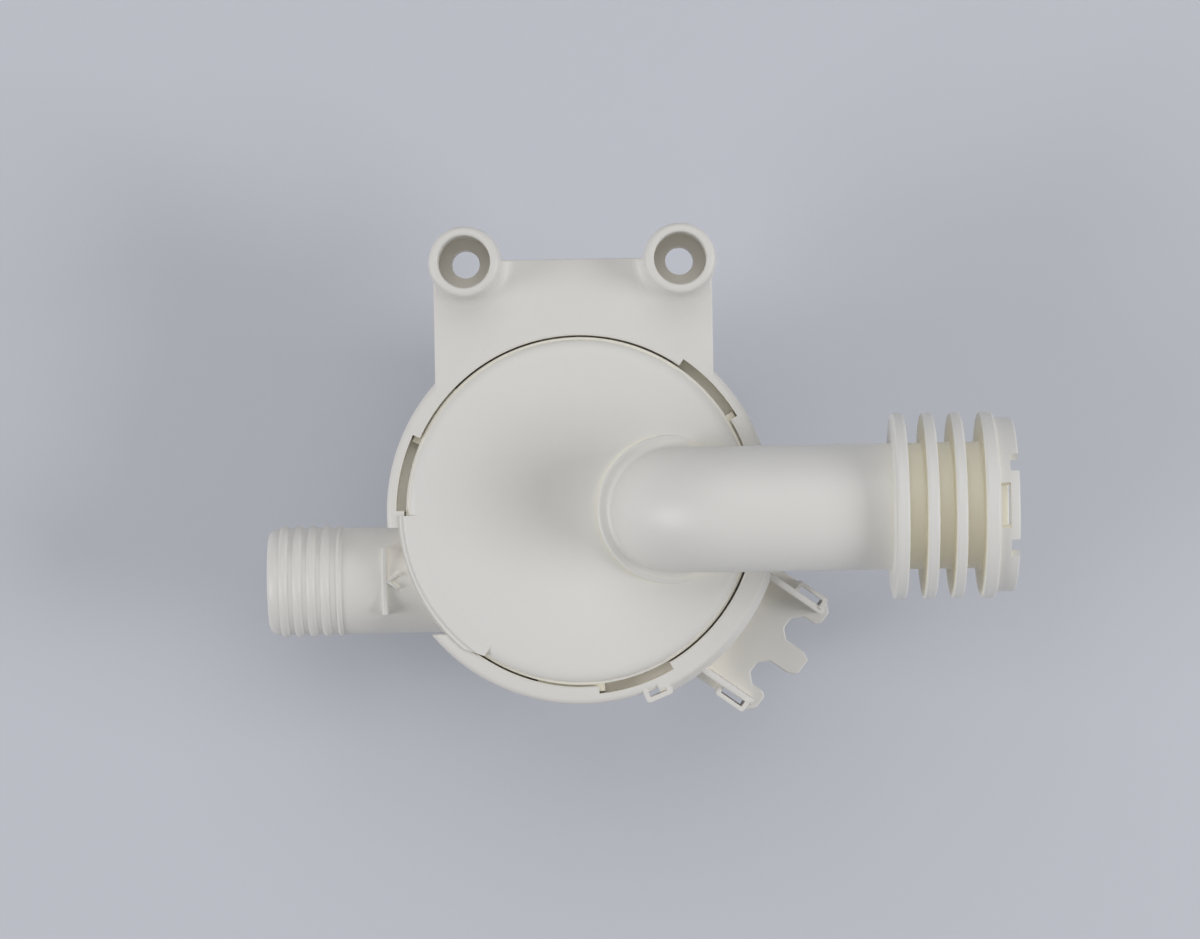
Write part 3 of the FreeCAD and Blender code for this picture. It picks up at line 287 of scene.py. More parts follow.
def turned_lengthways(corners, y, z, steps=112):
    """A closed shape turned from (x, radius) corners about a line along X."""
    return full_turn(corners, placed_lengthways(y, z), Vector((0, y, z)), AXIS_X, steps)


def full_turn(corners, place, centre, axis, steps):
    """Spins an outline once about an axis, without the edges that lie on the axis."""
    shape = bmesh.new()
    add_outline(shape, corners, place)
    bmesh.ops.delete(shape, geom=shape.faces[:], context="FACES_ONLY")
    on_axis = [
        edge for edge in shape.edges
        if all((v.co - centre).cross(axis).length < MERGE for v in edge.verts)
    ]
    bmesh.ops.delete(shape, geom=on_axis, context="EDGES")
    bmesh.ops.spin(
        shape, geom=shape.verts[:] + shape.edges[:], cent=centre, axis=axis,
        angle=math.tau, steps=steps, use_merge=True,
    )
    return cleaned(shape)


def part_turn(corners, start, end, place=placed_upright(), centre=(0, 0, 0), axis=AXIS_Z):
    """A block swept through part of a turn, between two angles in radians."""
    shape = bmesh.new()
    add_outline(shape, corners, place)
    step = 2.5
    steps = max(2, round(math.degrees(end - start) / step))
    geom = shape.verts[:] + shape.edges[:] + shape.faces[:]
    bmesh.ops.spin(shape, geom=geom, cent=centre, axis=axis, angle=end - start, steps=steps)
    return cleaned(swung(shape, start, axis, centre))


def slab(corners, bottom, top, edge=0.0):
    """A plate from (x, y) corners, with its long edges rounded."""
    shape = bmesh.new()
    add_outline(shape, corners, lambda x, y: Vector((x, y, bottom)))
    lifted = bmesh.ops.extrude_face_region(shape, geom=shape.faces[:])["geom"]
    bmesh.ops.translate(shape, verts=only(lifted, BMVert), vec=(0, 0, top - bottom))
    cleaned(shape)
    if edge:
        ends = [e for e in shape.edges if abs(e.verts[0].co.z - e.verts[1].co.z) < MERGE]
        rounded(shape, ends, edge, 3, "EDGES")
    return shape


def upright_slab(corners, start, end, edge=0.0):
    """A plate from (x, z) corners that stands between two places along Y."""
    return swung(slab(corners, -end, -start, edge), math.pi / 2, "X")


def around(radius, degrees):
    """The (x, y) place at a distance and a direction from the valve's axis."""
    turn = math.radians(degrees)
    return radius * math.cos(turn), radius * math.sin(turn)


def moved(shape, vector):
    bmesh.ops.translate(shape, verts=shape.verts[:], vec=vector)
    return shape


def swung(shape, turn, axis="Z", centre=(0, 0, 0)):
    """Turns a shape about an axis, which is the valve's own unless another is given."""
    matrix = Matrix.Rotation(turn, 3, axis)
    bmesh.ops.rotate(shape, verts=shape.verts[:], cent=centre, matrix=matrix)
    return shape


def added_object(name, data):
    made = bpy.data.objects.new(name, data)
    bpy.context.scene.collection.objects.link(made)
    return made


def as_object(name, shape):
    mesh = bpy.data.meshes.new(name)
    shape.to_mesh(mesh)
    shape.free()
    return added_object(name, mesh)


def add_modifier(piece, name, kind, **settings):
    modifier = piece.modifiers.new(name, kind)
    for setting, value in settings.items():
        setattr(modifier, setting, value)


def together(shapes):
    """Several shapes as the islands of one."""
    whole = shapes[0]
    for shape in shapes[1:]:
        mesh = bpy.data.meshes.new("island")
        shape.to_mesh(mesh)
        shape.free()
        whole.from_mesh(mesh)
        bpy.data.meshes.remove(mesh)
    return whole


def combined(base, tool, operation):
    """The union, difference or intersection of two closed shapes."""
    base_object = as_object("base", base)
    tool_object = as_object("tool", tool)
    add_modifier(
        base_object, "Combine", "BOOLEAN", operation=operation, solver="EXACT",
        object=tool_object,
    )
    depsgraph = bpy.context.evaluated_depsgraph_get()
    mesh = bpy.data.meshes.new_from_object(base_object.evaluated_get(depsgraph))
    result = bmesh.new()
    result.from_mesh(mesh)
    bpy.data.meshes.remove(mesh)
    for used in (base_object, tool_object):
        data = used.data
        bpy.data.objects.remove(used)
        bpy.data.meshes.remove(data)
    return cleaned(result)


def joined_to(base, shapes):
    return combined(base, together(shapes), "UNION")


def cut_from(base, shapes):
    return combined(base, together(shapes), "DIFFERENCE")


def finished(name, shape, body, slot, edge=0.0, wall=0.0):
    """A piece on its CAD body, in its finish, with its edges rounded."""
    sharp_from = math.radians(32)
    round_from = math.radians(40)
    piece = as_object(name, shape)
    piece.data.shade_smooth()
    piece.data.set_sharp_from_angle(angle=sharp_from)
    if wall:
        add_modifier(
            piece, "Wall", "SOLIDIFY", thickness=wall, offset=-1, use_even_offset=True
        )
    if edge:
        add_modifier(
            piece, "Edges", "BEVEL", width=edge, segments=3, limit_method="ANGLE",
            angle_limit=round_from, harden_normals=True,
        )
    add_modifier(piece, "Even shading", "WEIGHTED_NORMAL", keep_sharp=True)
    piece.data.materials.append(bpy.data.materials[slot])
    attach(piece, body)
    return piece


def body_piece(name, shape):
    return finished(name, shape, "housing", "ivory_body")


def cover_piece(name, shape, edge=0.0, wall=0.0):
    return finished(name, shape, "cover", "ivory_cover", edge, wall)


# Valve body


def body_blank(sizes):
    """The round body with its rim, and the band that widens the rim beside the bracket."""
    outer = sizes.chamber_radius + sizes.wall
    under_rim = sizes.rim_top - sizes.rim_depth
    root = 0.6 * MM
    crown = 1.1 * MM
    blank = turned([
        (0, BODY_LOW.z), (outer, BODY_LOW.z, FULL), (outer, under_rim, root),
        (sizes.rim_radius, under_rim, SOFT), (sizes.rim_radius, sizes.rim_top, crown),
        (0, sizes.rim_top),
    ])
    inner = sizes.channel_radius
    reach = sizes.rim_radius + sizes.band_reach
    slope_z = sizes.rim_top - 2.6 * MM
    slope_r = reach - 1.2 * MM
    start = math.radians(-67)
    end = math.radians(-19)
    band = part_turn([
        (inner, under_rim), (reach, under_rim, SOFT), (reach, slope_z, 0.4 * MM),
        (slope_r, sizes.rim_top, ROUND), (inner, sizes.rim_top),
    ], start, end)
    return joined_to(blank, [band])


def plate_blank(body, sizes):
    left = sizes.middle_x - sizes.half_width
    right = sizes.middle_x + sizes.half_width
    return slab([
        (left, 0), (right, 0), (right, sizes.reach, FULL), (left, sizes.reach, FULL),
    ], body.rim_top - sizes.thickness, body.rim_top, PLATE_EDGE)


def plate_gussets(body, sizes):
    """Three webs under the plate."""
    pitch = 15 * MM
    half = 0.8 * MM
    depth = 8 * MM
    inset = 1.6 * MM
    blunt = 1.5 * MM
    top = body.rim_top - sizes.thickness / 2
    bottom = body.rim_top - sizes.thickness - depth
    inner = body.chamber_radius + body.wall
    outer = sizes.reach - inset
    corners = [(0, bottom), (inner, bottom), (outer, top - blunt), (outer, top), (0, top)]
    return [
        moved(swung(upright_slab(corners, -half, half), math.pi / 2), (sizes.middle_x + x, 0, 0))
        for x in (-pitch, 0, pitch)
    ]


def at_bosses(sizes, corners):
    """The same turned shape at each of the two screw bosses."""
    y = PLATE_HIGH.y - sizes.boss_radius
    half = sizes.hole_spacing / 2
    return [turned(corners, (sizes.middle_x + x, y), 96) for x in (-half, half)]


def boss_blanks(body, sizes):
    """The bosses, straight below the plate's face and tapered above it."""
    bottom = sizes.boss_top - sizes.boss_depth
    return at_bosses(sizes, [
        (0, bottom), (sizes.boss_radius, bottom, ROUND), (sizes.boss_radius, body.rim_top),
        (sizes.boss_radius - sizes.boss_taper, sizes.boss_top, FULL), (0, sizes.boss_top),
    ])


def boss_feet(body, sizes):
    """The fillets of the bosses, only where there is plate under them."""
    sunk = 0.6 * MM
    spread = sizes.foot * 1.1
    inner = sizes.boss_radius - sunk
    outer = sizes.boss_radius + spread
    low = body.rim_top - sunk
    high = body.rim_top + spread
    share = (high - body.rim_top) / (sizes.boss_top - body.rim_top)
    upper = sizes.boss_radius - sizes.boss_taper * share
    feet = at_bosses(sizes, [
        (inner, low), (outer, low), (outer, body.rim_top),
        (sizes.boss_radius, body.rim_top, sizes.foot), (upper, high), (inner, high),
    ])
    left = sizes.middle_x - sizes.half_width + PLATE_EDGE
    right = sizes.middle_x + sizes.half_width - PLATE_EDGE
    plate = rectangle(left, right, 0, sizes.reach - PLATE_EDGE)
    return [combined(foot, slab(plate, low - MM, high + MM), "INTERSECT") for foot in feet]


def boss_bores(sizes):
    """The screw holes, with the recess for each screw's head."""
    floor = sizes.boss_top - sizes.recess_depth
    bottom = sizes.boss_top - sizes.boss_depth - MM
    top = sizes.boss_top + MM
    flare = sizes.recess_radius + ROUND
    return at_bosses(sizes, [
        (0, bottom), (sizes.hole_radius, bottom), (sizes.hole_radius, floor),
        (sizes.recess_radius, floor), (sizes.recess_radius, sizes.boss_top, ROUND * 0.9),
        (flare, sizes.boss_top), (flare, top), (0, top),
    ])


def chamber_cavity(sizes):
    """The room inside: the chamber round its spindle boss, the cover's seat and the mouth."""
    floor = BODY_LOW.z + sizes.wall
    seat = sizes.rim_top - sizes.seat_depth
    hub_radius = 7.0 * MM
    hub_top = floor + 6.0 * MM
    chamfer = 0.25 * MM
    past = 0.01 * MM
    mouth = sizes.seat_radius + chamfer
    return turned([
        (0, hub_top), (hub_radius, hub_top, SOFT), (hub_radius, floor, ROUND),
        (sizes.chamber_radius, floor, ROUND), (sizes.chamber_radius, seat),
        (sizes.seat_radius, seat), (sizes.seat_radius, sizes.rim_top - chamfer),
        (mouth + past, sizes.rim_top + past), (mouth, sizes.rim_top + MM),
        (0, sizes.rim_top + MM),
    ])


def locking_cuts(sizes):
    """The channel of each lug, and the windows where the lugs go in."""
    clear = 0.2 * MM
    inner = sizes.chamber_radius + clear
    outer = sizes.channel_radius
    seat = sizes.rim_top - sizes.seat_depth
    half = sizes.window_span / 2
    channel = rectangle(inner, outer, seat, sizes.rim_top - sizes.lip)
    window = rectangle(inner, outer, seat + MM, sizes.rim_top + MM)
    channels = [
        part_turn(channel, middle - half - sizes.channel_run, middle + half)
        for middle in WINDOW_MIDDLES
    ]
    windows = [part_turn(window, middle - half, middle + half) for middle in WINDOW_MIDDLES]
    return channels, windows


def spigot_gap(sizes, outlet):
    """What the rim leaves open over the spigot, down to the spigot itself."""
    start = math.radians(180)
    end = math.radians(230)
    below = 0.5 * MM
    outer = sizes.rim_radius + MM
    low = sizes.rim_top - sizes.rim_depth - below
    high = sizes.rim_top + MM
    side = rectangle(sizes.chamber_radius + sizes.wall, outer, low, high)
    ring = part_turn(side, start, end)
    along = rectangle(-outer - MM, 0, outlet.y - outlet.radius, outlet.y + outlet.radius)
    return combined(ring, slab(along, low - MM, high + MM), "INTERSECT")


def spindle_bores():
    """The bore of the spindle's bush and the wider seat of its seal."""
    bush_radius = 4.22 * MM
    seal_radius = 5.22 * MM
    seal_z = 26.65 * MM
    top = 32 * MM
    return turned([
        (0, BODY_LOW.z - MM), (bush_radius, BODY_LOW.z - MM), (bush_radius, seal_z),
        (seal_radius, seal_z), (seal_radius, top), (0, top),
    ], steps=72)


def drive_screw_places():
    """Middles of the two screws, from the ears of the drive's lid."""
    direction = math.radians(-35.5)
    drive_offset = 11 * MM
    ear_reach = 28.5 * MM
    along = Vector((math.cos(direction), math.sin(direction)))
    across = Vector((-along.y, along.x))
    return [along * drive_offset + across * side * ear_reach for side in (-1, 1)]


def screw_posts(radius, bottom, top):
    """A round post at the place of each screw of the drive."""
    return [
        turned([(0, bottom), (radius, bottom), (radius, top, 0.4 * MM), (0, top)], place, 48)
        for place in drive_screw_places()
    ]


def passage(outlet):
    """The way from the chamber into the spigot."""
    start = -40 * MM
    side = rectangle(start, PASSAGE_END, 0, outlet.throat)
    return turned_lengthways(side, outlet.y, outlet.z, 64)


class DRAINVALVE_OT_valve_body(Operator):
    """Adds the chamber with its rim, plate and screw bosses"""

    bl_idname = "drain_valve.valve_body"
    bl_label = "Valve Body"

    def execute(self, context):
        sizes = context.scene.valve_body
        plate = context.scene.valve_plate
        outlet = context.scene.valve_outlet
        post_radius = 3.02 * MM
        post_top = 31.2 * MM
        thread_radius = 1.42 * MM
        thread_top = 29.6 * MM
        shape = body_blank(sizes)
        for added in (
            [plate_blank(sizes, plate)], plate_gussets(sizes, plate),
            boss_blanks(sizes, plate), boss_feet(sizes, plate),
        ):
            shape = joined_to(shape, added)
        shape = cut_from(shape, [chamber_cavity(sizes)])
        shape = joined_to(shape, screw_posts(post_radius, BODY_LOW.z, post_top))
        for removed in (
            *locking_cuts(sizes), [spindle_bores()], boss_bores(plate),
            screw_posts(thread_radius, BODY_LOW.z - MM, thread_top),
            [passage(outlet)], [spigot_gap(sizes, outlet)],
        ):
            shape = cut_from(shape, removed)
        piece = body_piece("valve_body_shell", shape)
        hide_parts("valve_body", "chamber_floor", "mounting_plate")
        return {"FINISHED"}


# Outlet spigot


def spigot_corners(sizes):
    """The spigot's (x, radius) corners: nose, rounded hose ridges, bore and throat."""
    nose_round = 2.0 * MM
    ridge_share = 0.32
    last_share = 0.2
    steps = 8
    corners = [(sizes.nose_x, sizes.radius, nose_round)]
    for ridge in range(sizes.ridge_count):
        middle = sizes.nose_x + sizes.ridge_inset + ridge * sizes.ridge_pitch
        last = ridge == sizes.ridge_count - 1
        half = sizes.ridge_pitch * (last_share if last else ridge_share)
        for i in range(steps + 1):
            share = 2 * i / steps - 1
            rise = sizes.ridge * (1 - share * share)
            corners.append((middle + share * half, sizes.radius + rise))
    step_x = sizes.nose_x + sizes.bore_depth
    corners += [
        (PASSAGE_END, sizes.radius), (PASSAGE_END, sizes.throat), (step_x, sizes.throat),
        (step_x, sizes.bore), (sizes.nose_x, sizes.bore, 0.6 * MM),
    ]
    return corners


def arrow_arms(sizes, tip_x, top):
    """Two short ribs that meet at the stop like an arrow."""
    half = 0.3 * MM
    reach = 2.4 * MM
    height = 0.6 * MM
    tip = 0.25 * MM
    edge = 0.12 * MM
    spread = math.radians(33)
    corners = [(0, -half), (reach, -half, tip), (reach, half, tip), (0, half)]
    arms = [
        swung(slab(corners, top - MM, top + height, edge), turn) for turn in (-spread, spread)
    ]
    return [moved(arm, (tip_x, sizes.y, 0)) for arm in arms]


def stop_rib(sizes, stop_x, half, top):
    """The rib that a hose is pushed up to."""
    sunk = 3 * MM
    height = 0.65 * MM
    outline = rectangle(stop_x - half, stop_x + half, -sizes.stop_half, sizes.stop_half)
    corners = [(*corner, SOFT) for corner in outline]
    return moved(slab(corners, top - sunk, top + height, SOFT), (0, sizes.y, 0))


class DRAINVALVE_OT_outlet(Operator):
    """Adds the hose spigot with its ridges and its stop"""

    bl_idname = "drain_valve.outlet"
    bl_label = "Outlet Spigot"

    def execute(self, context):
        sizes = context.scene.valve_outlet
        body = context.scene.valve_body
        low = 20 * MM
        high = 60 * MM
        overlap = 0.1 * MM
        tube = turned_lengthways(spigot_corners(sizes), sizes.y, sizes.z)
        room = turned(rectangle(0, body.chamber_radius + body.wall - overlap, low, high))
        piece = body_piece("outlet_spigot", cut_from(tube, [room]))
        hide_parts("hose_spigot")
        stop_x = sizes.nose_x + sizes.stop_inset
        top = sizes.z + sizes.radius
        half = 0.5 * MM
        ribs = [stop_rib(sizes, stop_x, half, top), *arrow_arms(sizes, stop_x + half, top)]
        body_piece("hose_stop", together(ribs))
        return {"FINISHED"}


# Wire bracket

TIE_HALF = 2.25 * MM
TIE_ROOM = 1.1 * MM
WALL_HEIGHT = 12 * MM


def wall_place(v):
    """Distance along the bracket at which the chamber's wall is met."""
    within_wall = 31.0 * MM
    return math.sqrt(within_wall ** 2 - v * v)


def on_both_sides(sizes, shape):
    """A shape of the bracket's one side, and its like on the other side, a little further in."""
    slant = sizes.setback * sizes.half_width
    lower = shape.copy()
    mirror = Matrix.Scale(-1, 3, AXIS_Y)
    bmesh.ops.transform(lower, matrix=mirror, verts=lower.verts[:])
    bmesh.ops.reverse_faces(lower, faces=lower.faces[:])
    moved(shape, (slant, sizes.middle, 0))
    moved(lower, (-slant, sizes.middle, 0))
    return together([shape, lower])


def bracket_floor(sizes):
    """The floor, with two notches between its three lobes."""
    cut = 1.6 * MM
    inner = 7.6 * MM
    lobe = 2.4 * MM
    outer = sizes.half_width
    half = [(wall_place(outer / 2), outer / 2, 0), (wall_place(outer), outer, 0)]
    half += [(u, v, SOFT) for u, v in (
        (sizes.foot - cut, outer), (sizes.foot, outer - cut),
        (sizes.foot, inner + cut / 2), (sizes.foot - cut / 2, inner),
        (sizes.notch + cut, inner), (sizes.notch, inner - cut),
        (sizes.notch, lobe + cut), (sizes.notch + cut, lobe),
        (sizes.lobe - cut, lobe), (sizes.lobe, lobe - cut / 2),
    )]
    both = half + [(u, -v, rounding) for u, v, rounding in reversed(half)]
    corners = [(u + sizes.setback * v, v + sizes.middle, rounding) for u, v, rounding in both]
    return slab(corners, sizes.floor_z, sizes.floor_z + sizes.floor_thickness, SOFT)


def bracket_slots(sizes):
    """What the tie loops leave open in the floor."""
    inner = sizes.wall_v + sizes.wall_thickness
    place = sizes.tie_place
    slot = rectangle(place - TIE_HALF, place + TIE_HALF, inner, inner + TIE_ROOM)
    return on_both_sides(sizes, slab(slot, sizes.floor_z - MM, sizes.floor_z + WALL_HEIGHT))


def bracket_walls(sizes):
    """The side walls, with a step at the rim and a slope at their far end."""
    start = 29.1 * MM
    step = 33.4 * MM
    step_z = 44.6 * MM
    slope = 36 * MM
    slope_drop = 4 * MM
    low = sizes.floor_z + SOFT
    top = sizes.floor_z + WALL_HEIGHT
    return on_both_sides(sizes, upright_slab([
        (start, low), (sizes.wall_end, low), (sizes.wall_end, top - slope_drop, FULL),
        (slope, top, FULL), (step, top), (step, step_z), (start, step_z),
    ], sizes.wall_v, sizes.wall_v + sizes.wall_thickness, SOFT))


def loop_corners(start, slot_end, low, high, strap):
    """The (out, across, rounding) corners of a strap that goes round a slot."""
    outer = slot_end + strap
    bend = 0.6 * MM
    return [
        (start, low - strap, 0), (outer, low - strap, bend), (outer, high + strap, bend),
        (start, high + strap, 0), (start, high, 0), (slot_end, high, FINE),
        (slot_end, low, FINE), (start, low, 0),
    ]


def bracket_loops(sizes):
    """The flat loops that a cable tie goes through."""
    sunk = 0.4 * MM
    height = 8.7 * MM
    inner = sizes.wall_v + sizes.wall_thickness
    place = sizes.tie_place
    low = sizes.floor_z + SOFT
    loop = loop_corners(
        inner - sunk, inner + TIE_ROOM, place - TIE_HALF, place + TIE_HALF, sizes.strap
    )
    corners = [(across, out, rounding) for out, across, rounding in loop]
    return on_both_sides(sizes, slab(corners, low, low + height, FINE))


def rim_loop(body):
    """The loop for a cable tie at the rim, a little way round from the bracket."""
    direction = math.radians(-67.6)
    half = 1.6 * MM
    sunk = 1.5 * MM
    room = 1.0 * MM
    strap = 0.9 * MM
    height = 4 * MM
    top = body.rim_top - 0.05 * MM
    loop = loop_corners(body.rim_radius - sunk, body.rim_radius + room, -half, half, strap)
    return swung(slab(loop, top - height, top, FINE), direction)


class DRAINVALVE_OT_bracket(Operator):
    """Adds the wire bracket with its notches, walls and tie loops"""

    bl_idname = "drain_valve.bracket"
    bl_label = "Wire Bracket"

    def execute(self, context):
        sizes = context.scene.valve_bracket
        floor = cut_from(bracket_floor(sizes), [bracket_slots(sizes)])
        piece = body_piece("bracket_floor", swung(floor, sizes.direction))
        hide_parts("wire_bracket")
        body_piece("bracket_walls", swung(bracket_walls(sizes), sizes.direction))
        body_piece("bracket_tie_loops", swung(bracket_loops(sizes), sizes.direction))
        body_piece("rim_tie_loop", rim_loop(context.scene.valve_body))
        return {"FINISHED"}


# Cover


def dish_height(sizes, radius):
    """Height of the dished face: hollow up to the turn, crowned from there to the crest."""
    slope = 2 * sizes.dish_depth / sizes.crest_radius
    centre = sizes.crest_z - sizes.dish_depth
    if radius <= sizes.turn_radius:
        return centre + slope * radius * radius / (2 * sizes.turn_radius)
    width = sizes.crest_radius - sizes.turn_radius
    share = (radius - sizes.turn_radius) / width
    return centre + slope * (sizes.turn_radius / 2 + width * (share - share * share / 2))


def cover_corners(sizes):
    """The cover's (radius, height) corners: dish, edge, skirt with its ring groove, and hub."""
    dish_steps = 36
    edge_steps = 9
    skirt = 29.4 * MM
    inner = 25.9 * MM
    groove = 27.65 * MM
    hub = 4.6 * MM
    hub_bottom = 41.9 * MM
    socket = 2.05 * MM
    socket_top = 45.9 * MM
    radii = [sizes.crest_radius * i / dish_steps for i in range(dish_steps + 1)]
    corners = [(r, dish_height(sizes, r)) for r in radii]
    width = sizes.radius - sizes.crest_radius
    for i in range(1, edge_steps + 1):
        turn = math.pi / 2 * i / edge_steps
        drop = sizes.edge_drop * (1 - math.cos(turn))
        corners.append((sizes.crest_radius + width * math.sin(turn), sizes.crest_z - drop))
    ledge_z = sizes.crest_z - sizes.edge_drop - 0.2 * MM
    low = sizes.skirt_bottom
    groove_low = low + 0.7 * MM
    groove_high = low + 2.8 * MM
    corners += [
        (sizes.radius, ledge_z, 0.1 * MM), (sizes.ledge_radius, ledge_z, 0.15 * MM),
        (sizes.ledge_radius, LUG_BOTTOM, FINE), (skirt, LUG_BOTTOM),
        (skirt, groove_high), (groove, groove_high), (groove, groove_low),
        (skirt, groove_low), (skirt, low, FINE), (inner, low, FINE),
        (inner, sizes.crest_z - sizes.thickness, FULL),
        (sizes.turn_radius, dish_height(sizes, sizes.turn_radius) - sizes.thickness),
        (hub, dish_height(sizes, hub) - sizes.thickness), (hub, hub_bottom, FINE),
        (socket, hub_bottom), (socket, socket_top), (0, socket_top),
    ]
    return corners


def stop_flange(sizes, rim_top):
    """The flange that stops the cover's turn, with one end cut slanting and one drawn in."""
    inner = sizes.crest_radius
    outer = sizes.flange_radius
    shoulder = outer - 0.8 * MM
    low = rim_top + 0.15 * MM
    step_z = rim_top + 0.5 * MM
    top = sizes.crest_z
    start = math.radians(180.6)
    end = math.radians(235.6)
    flange = part_turn([
        (inner, low), (outer, low, 0.1 * MM), (outer, step_z, 0.22 * MM),
        (shoulder, step_z - 0.05 * MM, 0.15 * MM), (shoulder, top - 0.04 * MM, 0.35 * MM),
        (inner, top - 0.02 * MM),
    ], start, end)
    slant = [(-0.5, -0.55), (0.5, 0.75), (-0.5, 2), (-2, 2), (-2, -0.55)]
    corner = slab([(x * MM, y * MM) for x, y in slant], low - MM, top + MM)
    place = Vector((-outer + 0.5 * MM, 0.3 * MM, 0))
    drawn_in = [(32.05, 228.5), (30.7, 235.9), (35, 240), (35, 226)]
    taper = slab([around(r * MM, turn) for r, turn in drawn_in], low - MM, top + MM)
    return cut_from(flange, [moved(corner, place), taper])


def locking_lugs():
    """The lugs under the rim's lip, where they lock."""
    inner = 27.9 * MM
    outer = 32.3 * MM
    top = 48.0 * MM
    behind_window = math.radians(32.3)
    span = math.radians(22)
    corners = [(inner, LUG_BOTTOM), (outer, LUG_BOTTOM, FINE), (outer, top, FINE), (inner, top)]
    starts = [middle - behind_window for middle in WINDOW_MIDDLES]
    return together([part_turn(corners, start, start + span) for start in starts])


class DRAINVALVE_OT_cover(Operator):
    """Adds the dished cover with its stop flange and locking lugs"""

    bl_idname = "drain_valve.cover"
    bl_label = "Cover"

    def execute(self, context):
        sizes = context.scene.valve_cover
        inlet = context.scene.valve_inlet
        low = 40 * MM
        high = 55 * MM
        port = rectangle(0, inlet.radius - inlet.wall / 2, low, high)
        lid = turned(cover_corners(sizes), steps=192)
        lid = cut_from(lid, [turned(port, (inlet.port_x, 0), 72)])
        piece = cover_piece("cover_lid", lid)
        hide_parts("cover")
        cover_piece("stop_flange", stop_flange(sizes, context.scene.valve_body.rim_top))
        cover_piece("locking_lugs", locking_lugs())
        return {"FINISHED"}


# Inlet


def extruded(shape, edges, vector):
    """Draws open edges out along a line and gives the new edges."""
    geom = bmesh.ops.extrude_edge_only(shape, edges=edges)["geom"]
    verts = only(geom, BMVert)
    bmesh.ops.translate(shape, verts=verts, vec=vector)
    chosen = set(verts)
    return [edge for edge in only(geom, BMEdge) if chosen.issuperset(edge.verts)]


def elbow_shell(sizes):
    """The outer face of the inlet: up from the port, round the bend and out along X."""
    start_z = 42.0 * MM
    bend_z = sizes.axis_z - sizes.bend
    shape = bmesh.new()
    bmesh.ops.create_circle(
        shape, segments=112, radius=sizes.radius,
        matrix=Matrix.Translation((sizes.port_x, 0, start_z)),
    )
    rim = extruded(shape, shape.edges[:], (0, 0, bend_z - start_z))
    verts = list({v for edge in rim for v in edge.verts})
    centre = (sizes.port_x + sizes.bend, 0, bend_z)
    bend = bmesh.ops.spin(
        shape, geom=verts + rim, cent=centre, axis=AXIS_Y, angle=math.pi / 2, steps=36
    )
    rim = only(bend["geom_last"], BMEdge)
    set_back = 1.6 * MM
    extruded(shape, rim, (sizes.end_x - set_back - centre[0], 0, 0))
    return cleaned(shape)


def elbow_foot(sizes, crest_z):
    """The collar round the elbow's foot, with a fillet up to the elbow."""
    inner = sizes.radius - MM
    outer = sizes.radius + sizes.collar_step
    low = 44 * MM
    top = crest_z - 0.3 * MM
    ledge = 1.0 * MM
    dip = 0.25 * MM
    fillet = 1.2 * MM
    rise = 1.3 * MM
    return turned([
        (inner, low), (outer, low), (outer, top, ROUND), (outer - ledge, top),
        (sizes.radius, top - dip, fillet), (sizes.radius, top + rise), (inner, top + rise),
    ], (sizes.port_x, 0), 128)


def fin_corners(sizes, start, end):
    """A fin's (x, radius) corners, with a small fillet at its root."""
    root = 0.45 * MM
    spread = root * 1.05
    sunk = sizes.radius - 0.3 * MM
    return [
        (start - spread, sunk), (start - spread, sizes.radius),
        (start, sizes.radius, root), (start, sizes.fin_radius, ROUND),
        (end, sizes.fin_radius, ROUND), (end, sizes.radius, root),
        (end + spread, sizes.radius), (end + spread, sunk),
    ]


def fin_places(sizes):
    """The two sides of each fin along X, counted back from the end."""
    insets = ((21.0, 18.9), (15.8, 13.8), (10.9, 9.0), (5.8, 3.4))
    return [(sizes.end_x - a * MM, sizes.end_x - b * MM) for a, b in insets]


def collar_wedge(sizes, middle, half, start, end):
    """What a notch of the end collar takes away, round the tube's axis."""
    inner = sizes.collar_radius - sizes.collar_wall - 0.5 * MM
    outer = sizes.collar_radius + MM
    return part_turn(
        rectangle(start, end, inner, outer), math.radians(middle - half),
        math.radians(middle + half), placed_lengthways(0, sizes.axis_z),
        (0, 0, sizes.axis_z), AXIS_X,
    )


def end_collar(sizes):
    """The collar past the last fin, with four notches in its rim and a slot in its top."""
    edge = 0.35 * MM
    notch_turn = 29.5
    notch_half = 6.5
    notch_depth = 1.5 * MM
    slot_half = 15
    slot_width = 1.6 * MM
    start = fin_places(sizes)[-1][1]
    within_fin = start - 0.5 * MM
    inner = sizes.collar_radius - sizes.collar_wall
    ring = turned_lengthways([
        (within_fin, inner), (within_fin, sizes.collar_radius),
        (sizes.end_x, sizes.collar_radius, edge), (sizes.end_x, inner, edge),
    ], 0, sizes.axis_z, 144)
    notch_x = sizes.end_x - notch_depth
    cuts = [
        collar_wedge(sizes, middle + side * notch_turn, notch_half, notch_x, sizes.end_x + MM)
        for middle in (0, 180) for side in (-1, 1)
    ]
    slot_x = start + 0.2 * MM
    cuts.append(collar_wedge(sizes, 0, slot_half, slot_x, slot_x + slot_width))
    return cut_from(ring, cuts)


class DRAINVALVE_OT_inlet(Operator):
    """Adds the elbow and tube of the inlet, its fins and its notched end"""

    bl_idname = "drain_valve.inlet"
    bl_label = "Inlet"

    def execute(self, context):
        sizes = context.scene.valve_inlet
        cover_piece("elbow_collar", elbow_foot(sizes, context.scene.valve_cover.crest_z))
        cover_piece("inlet_elbow", elbow_shell(sizes), SOFT, sizes.wall)
        fins = [
            turned_lengthways(fin_corners(sizes, start, end), 0, sizes.axis_z, 144)
            for start, end in fin_places(sizes)
        ]
        cover_piece("inlet_fins", together(fins))
        cover_piece("end_collar", end_collar(sizes))
        return {"FINISHED"}


# Finishes


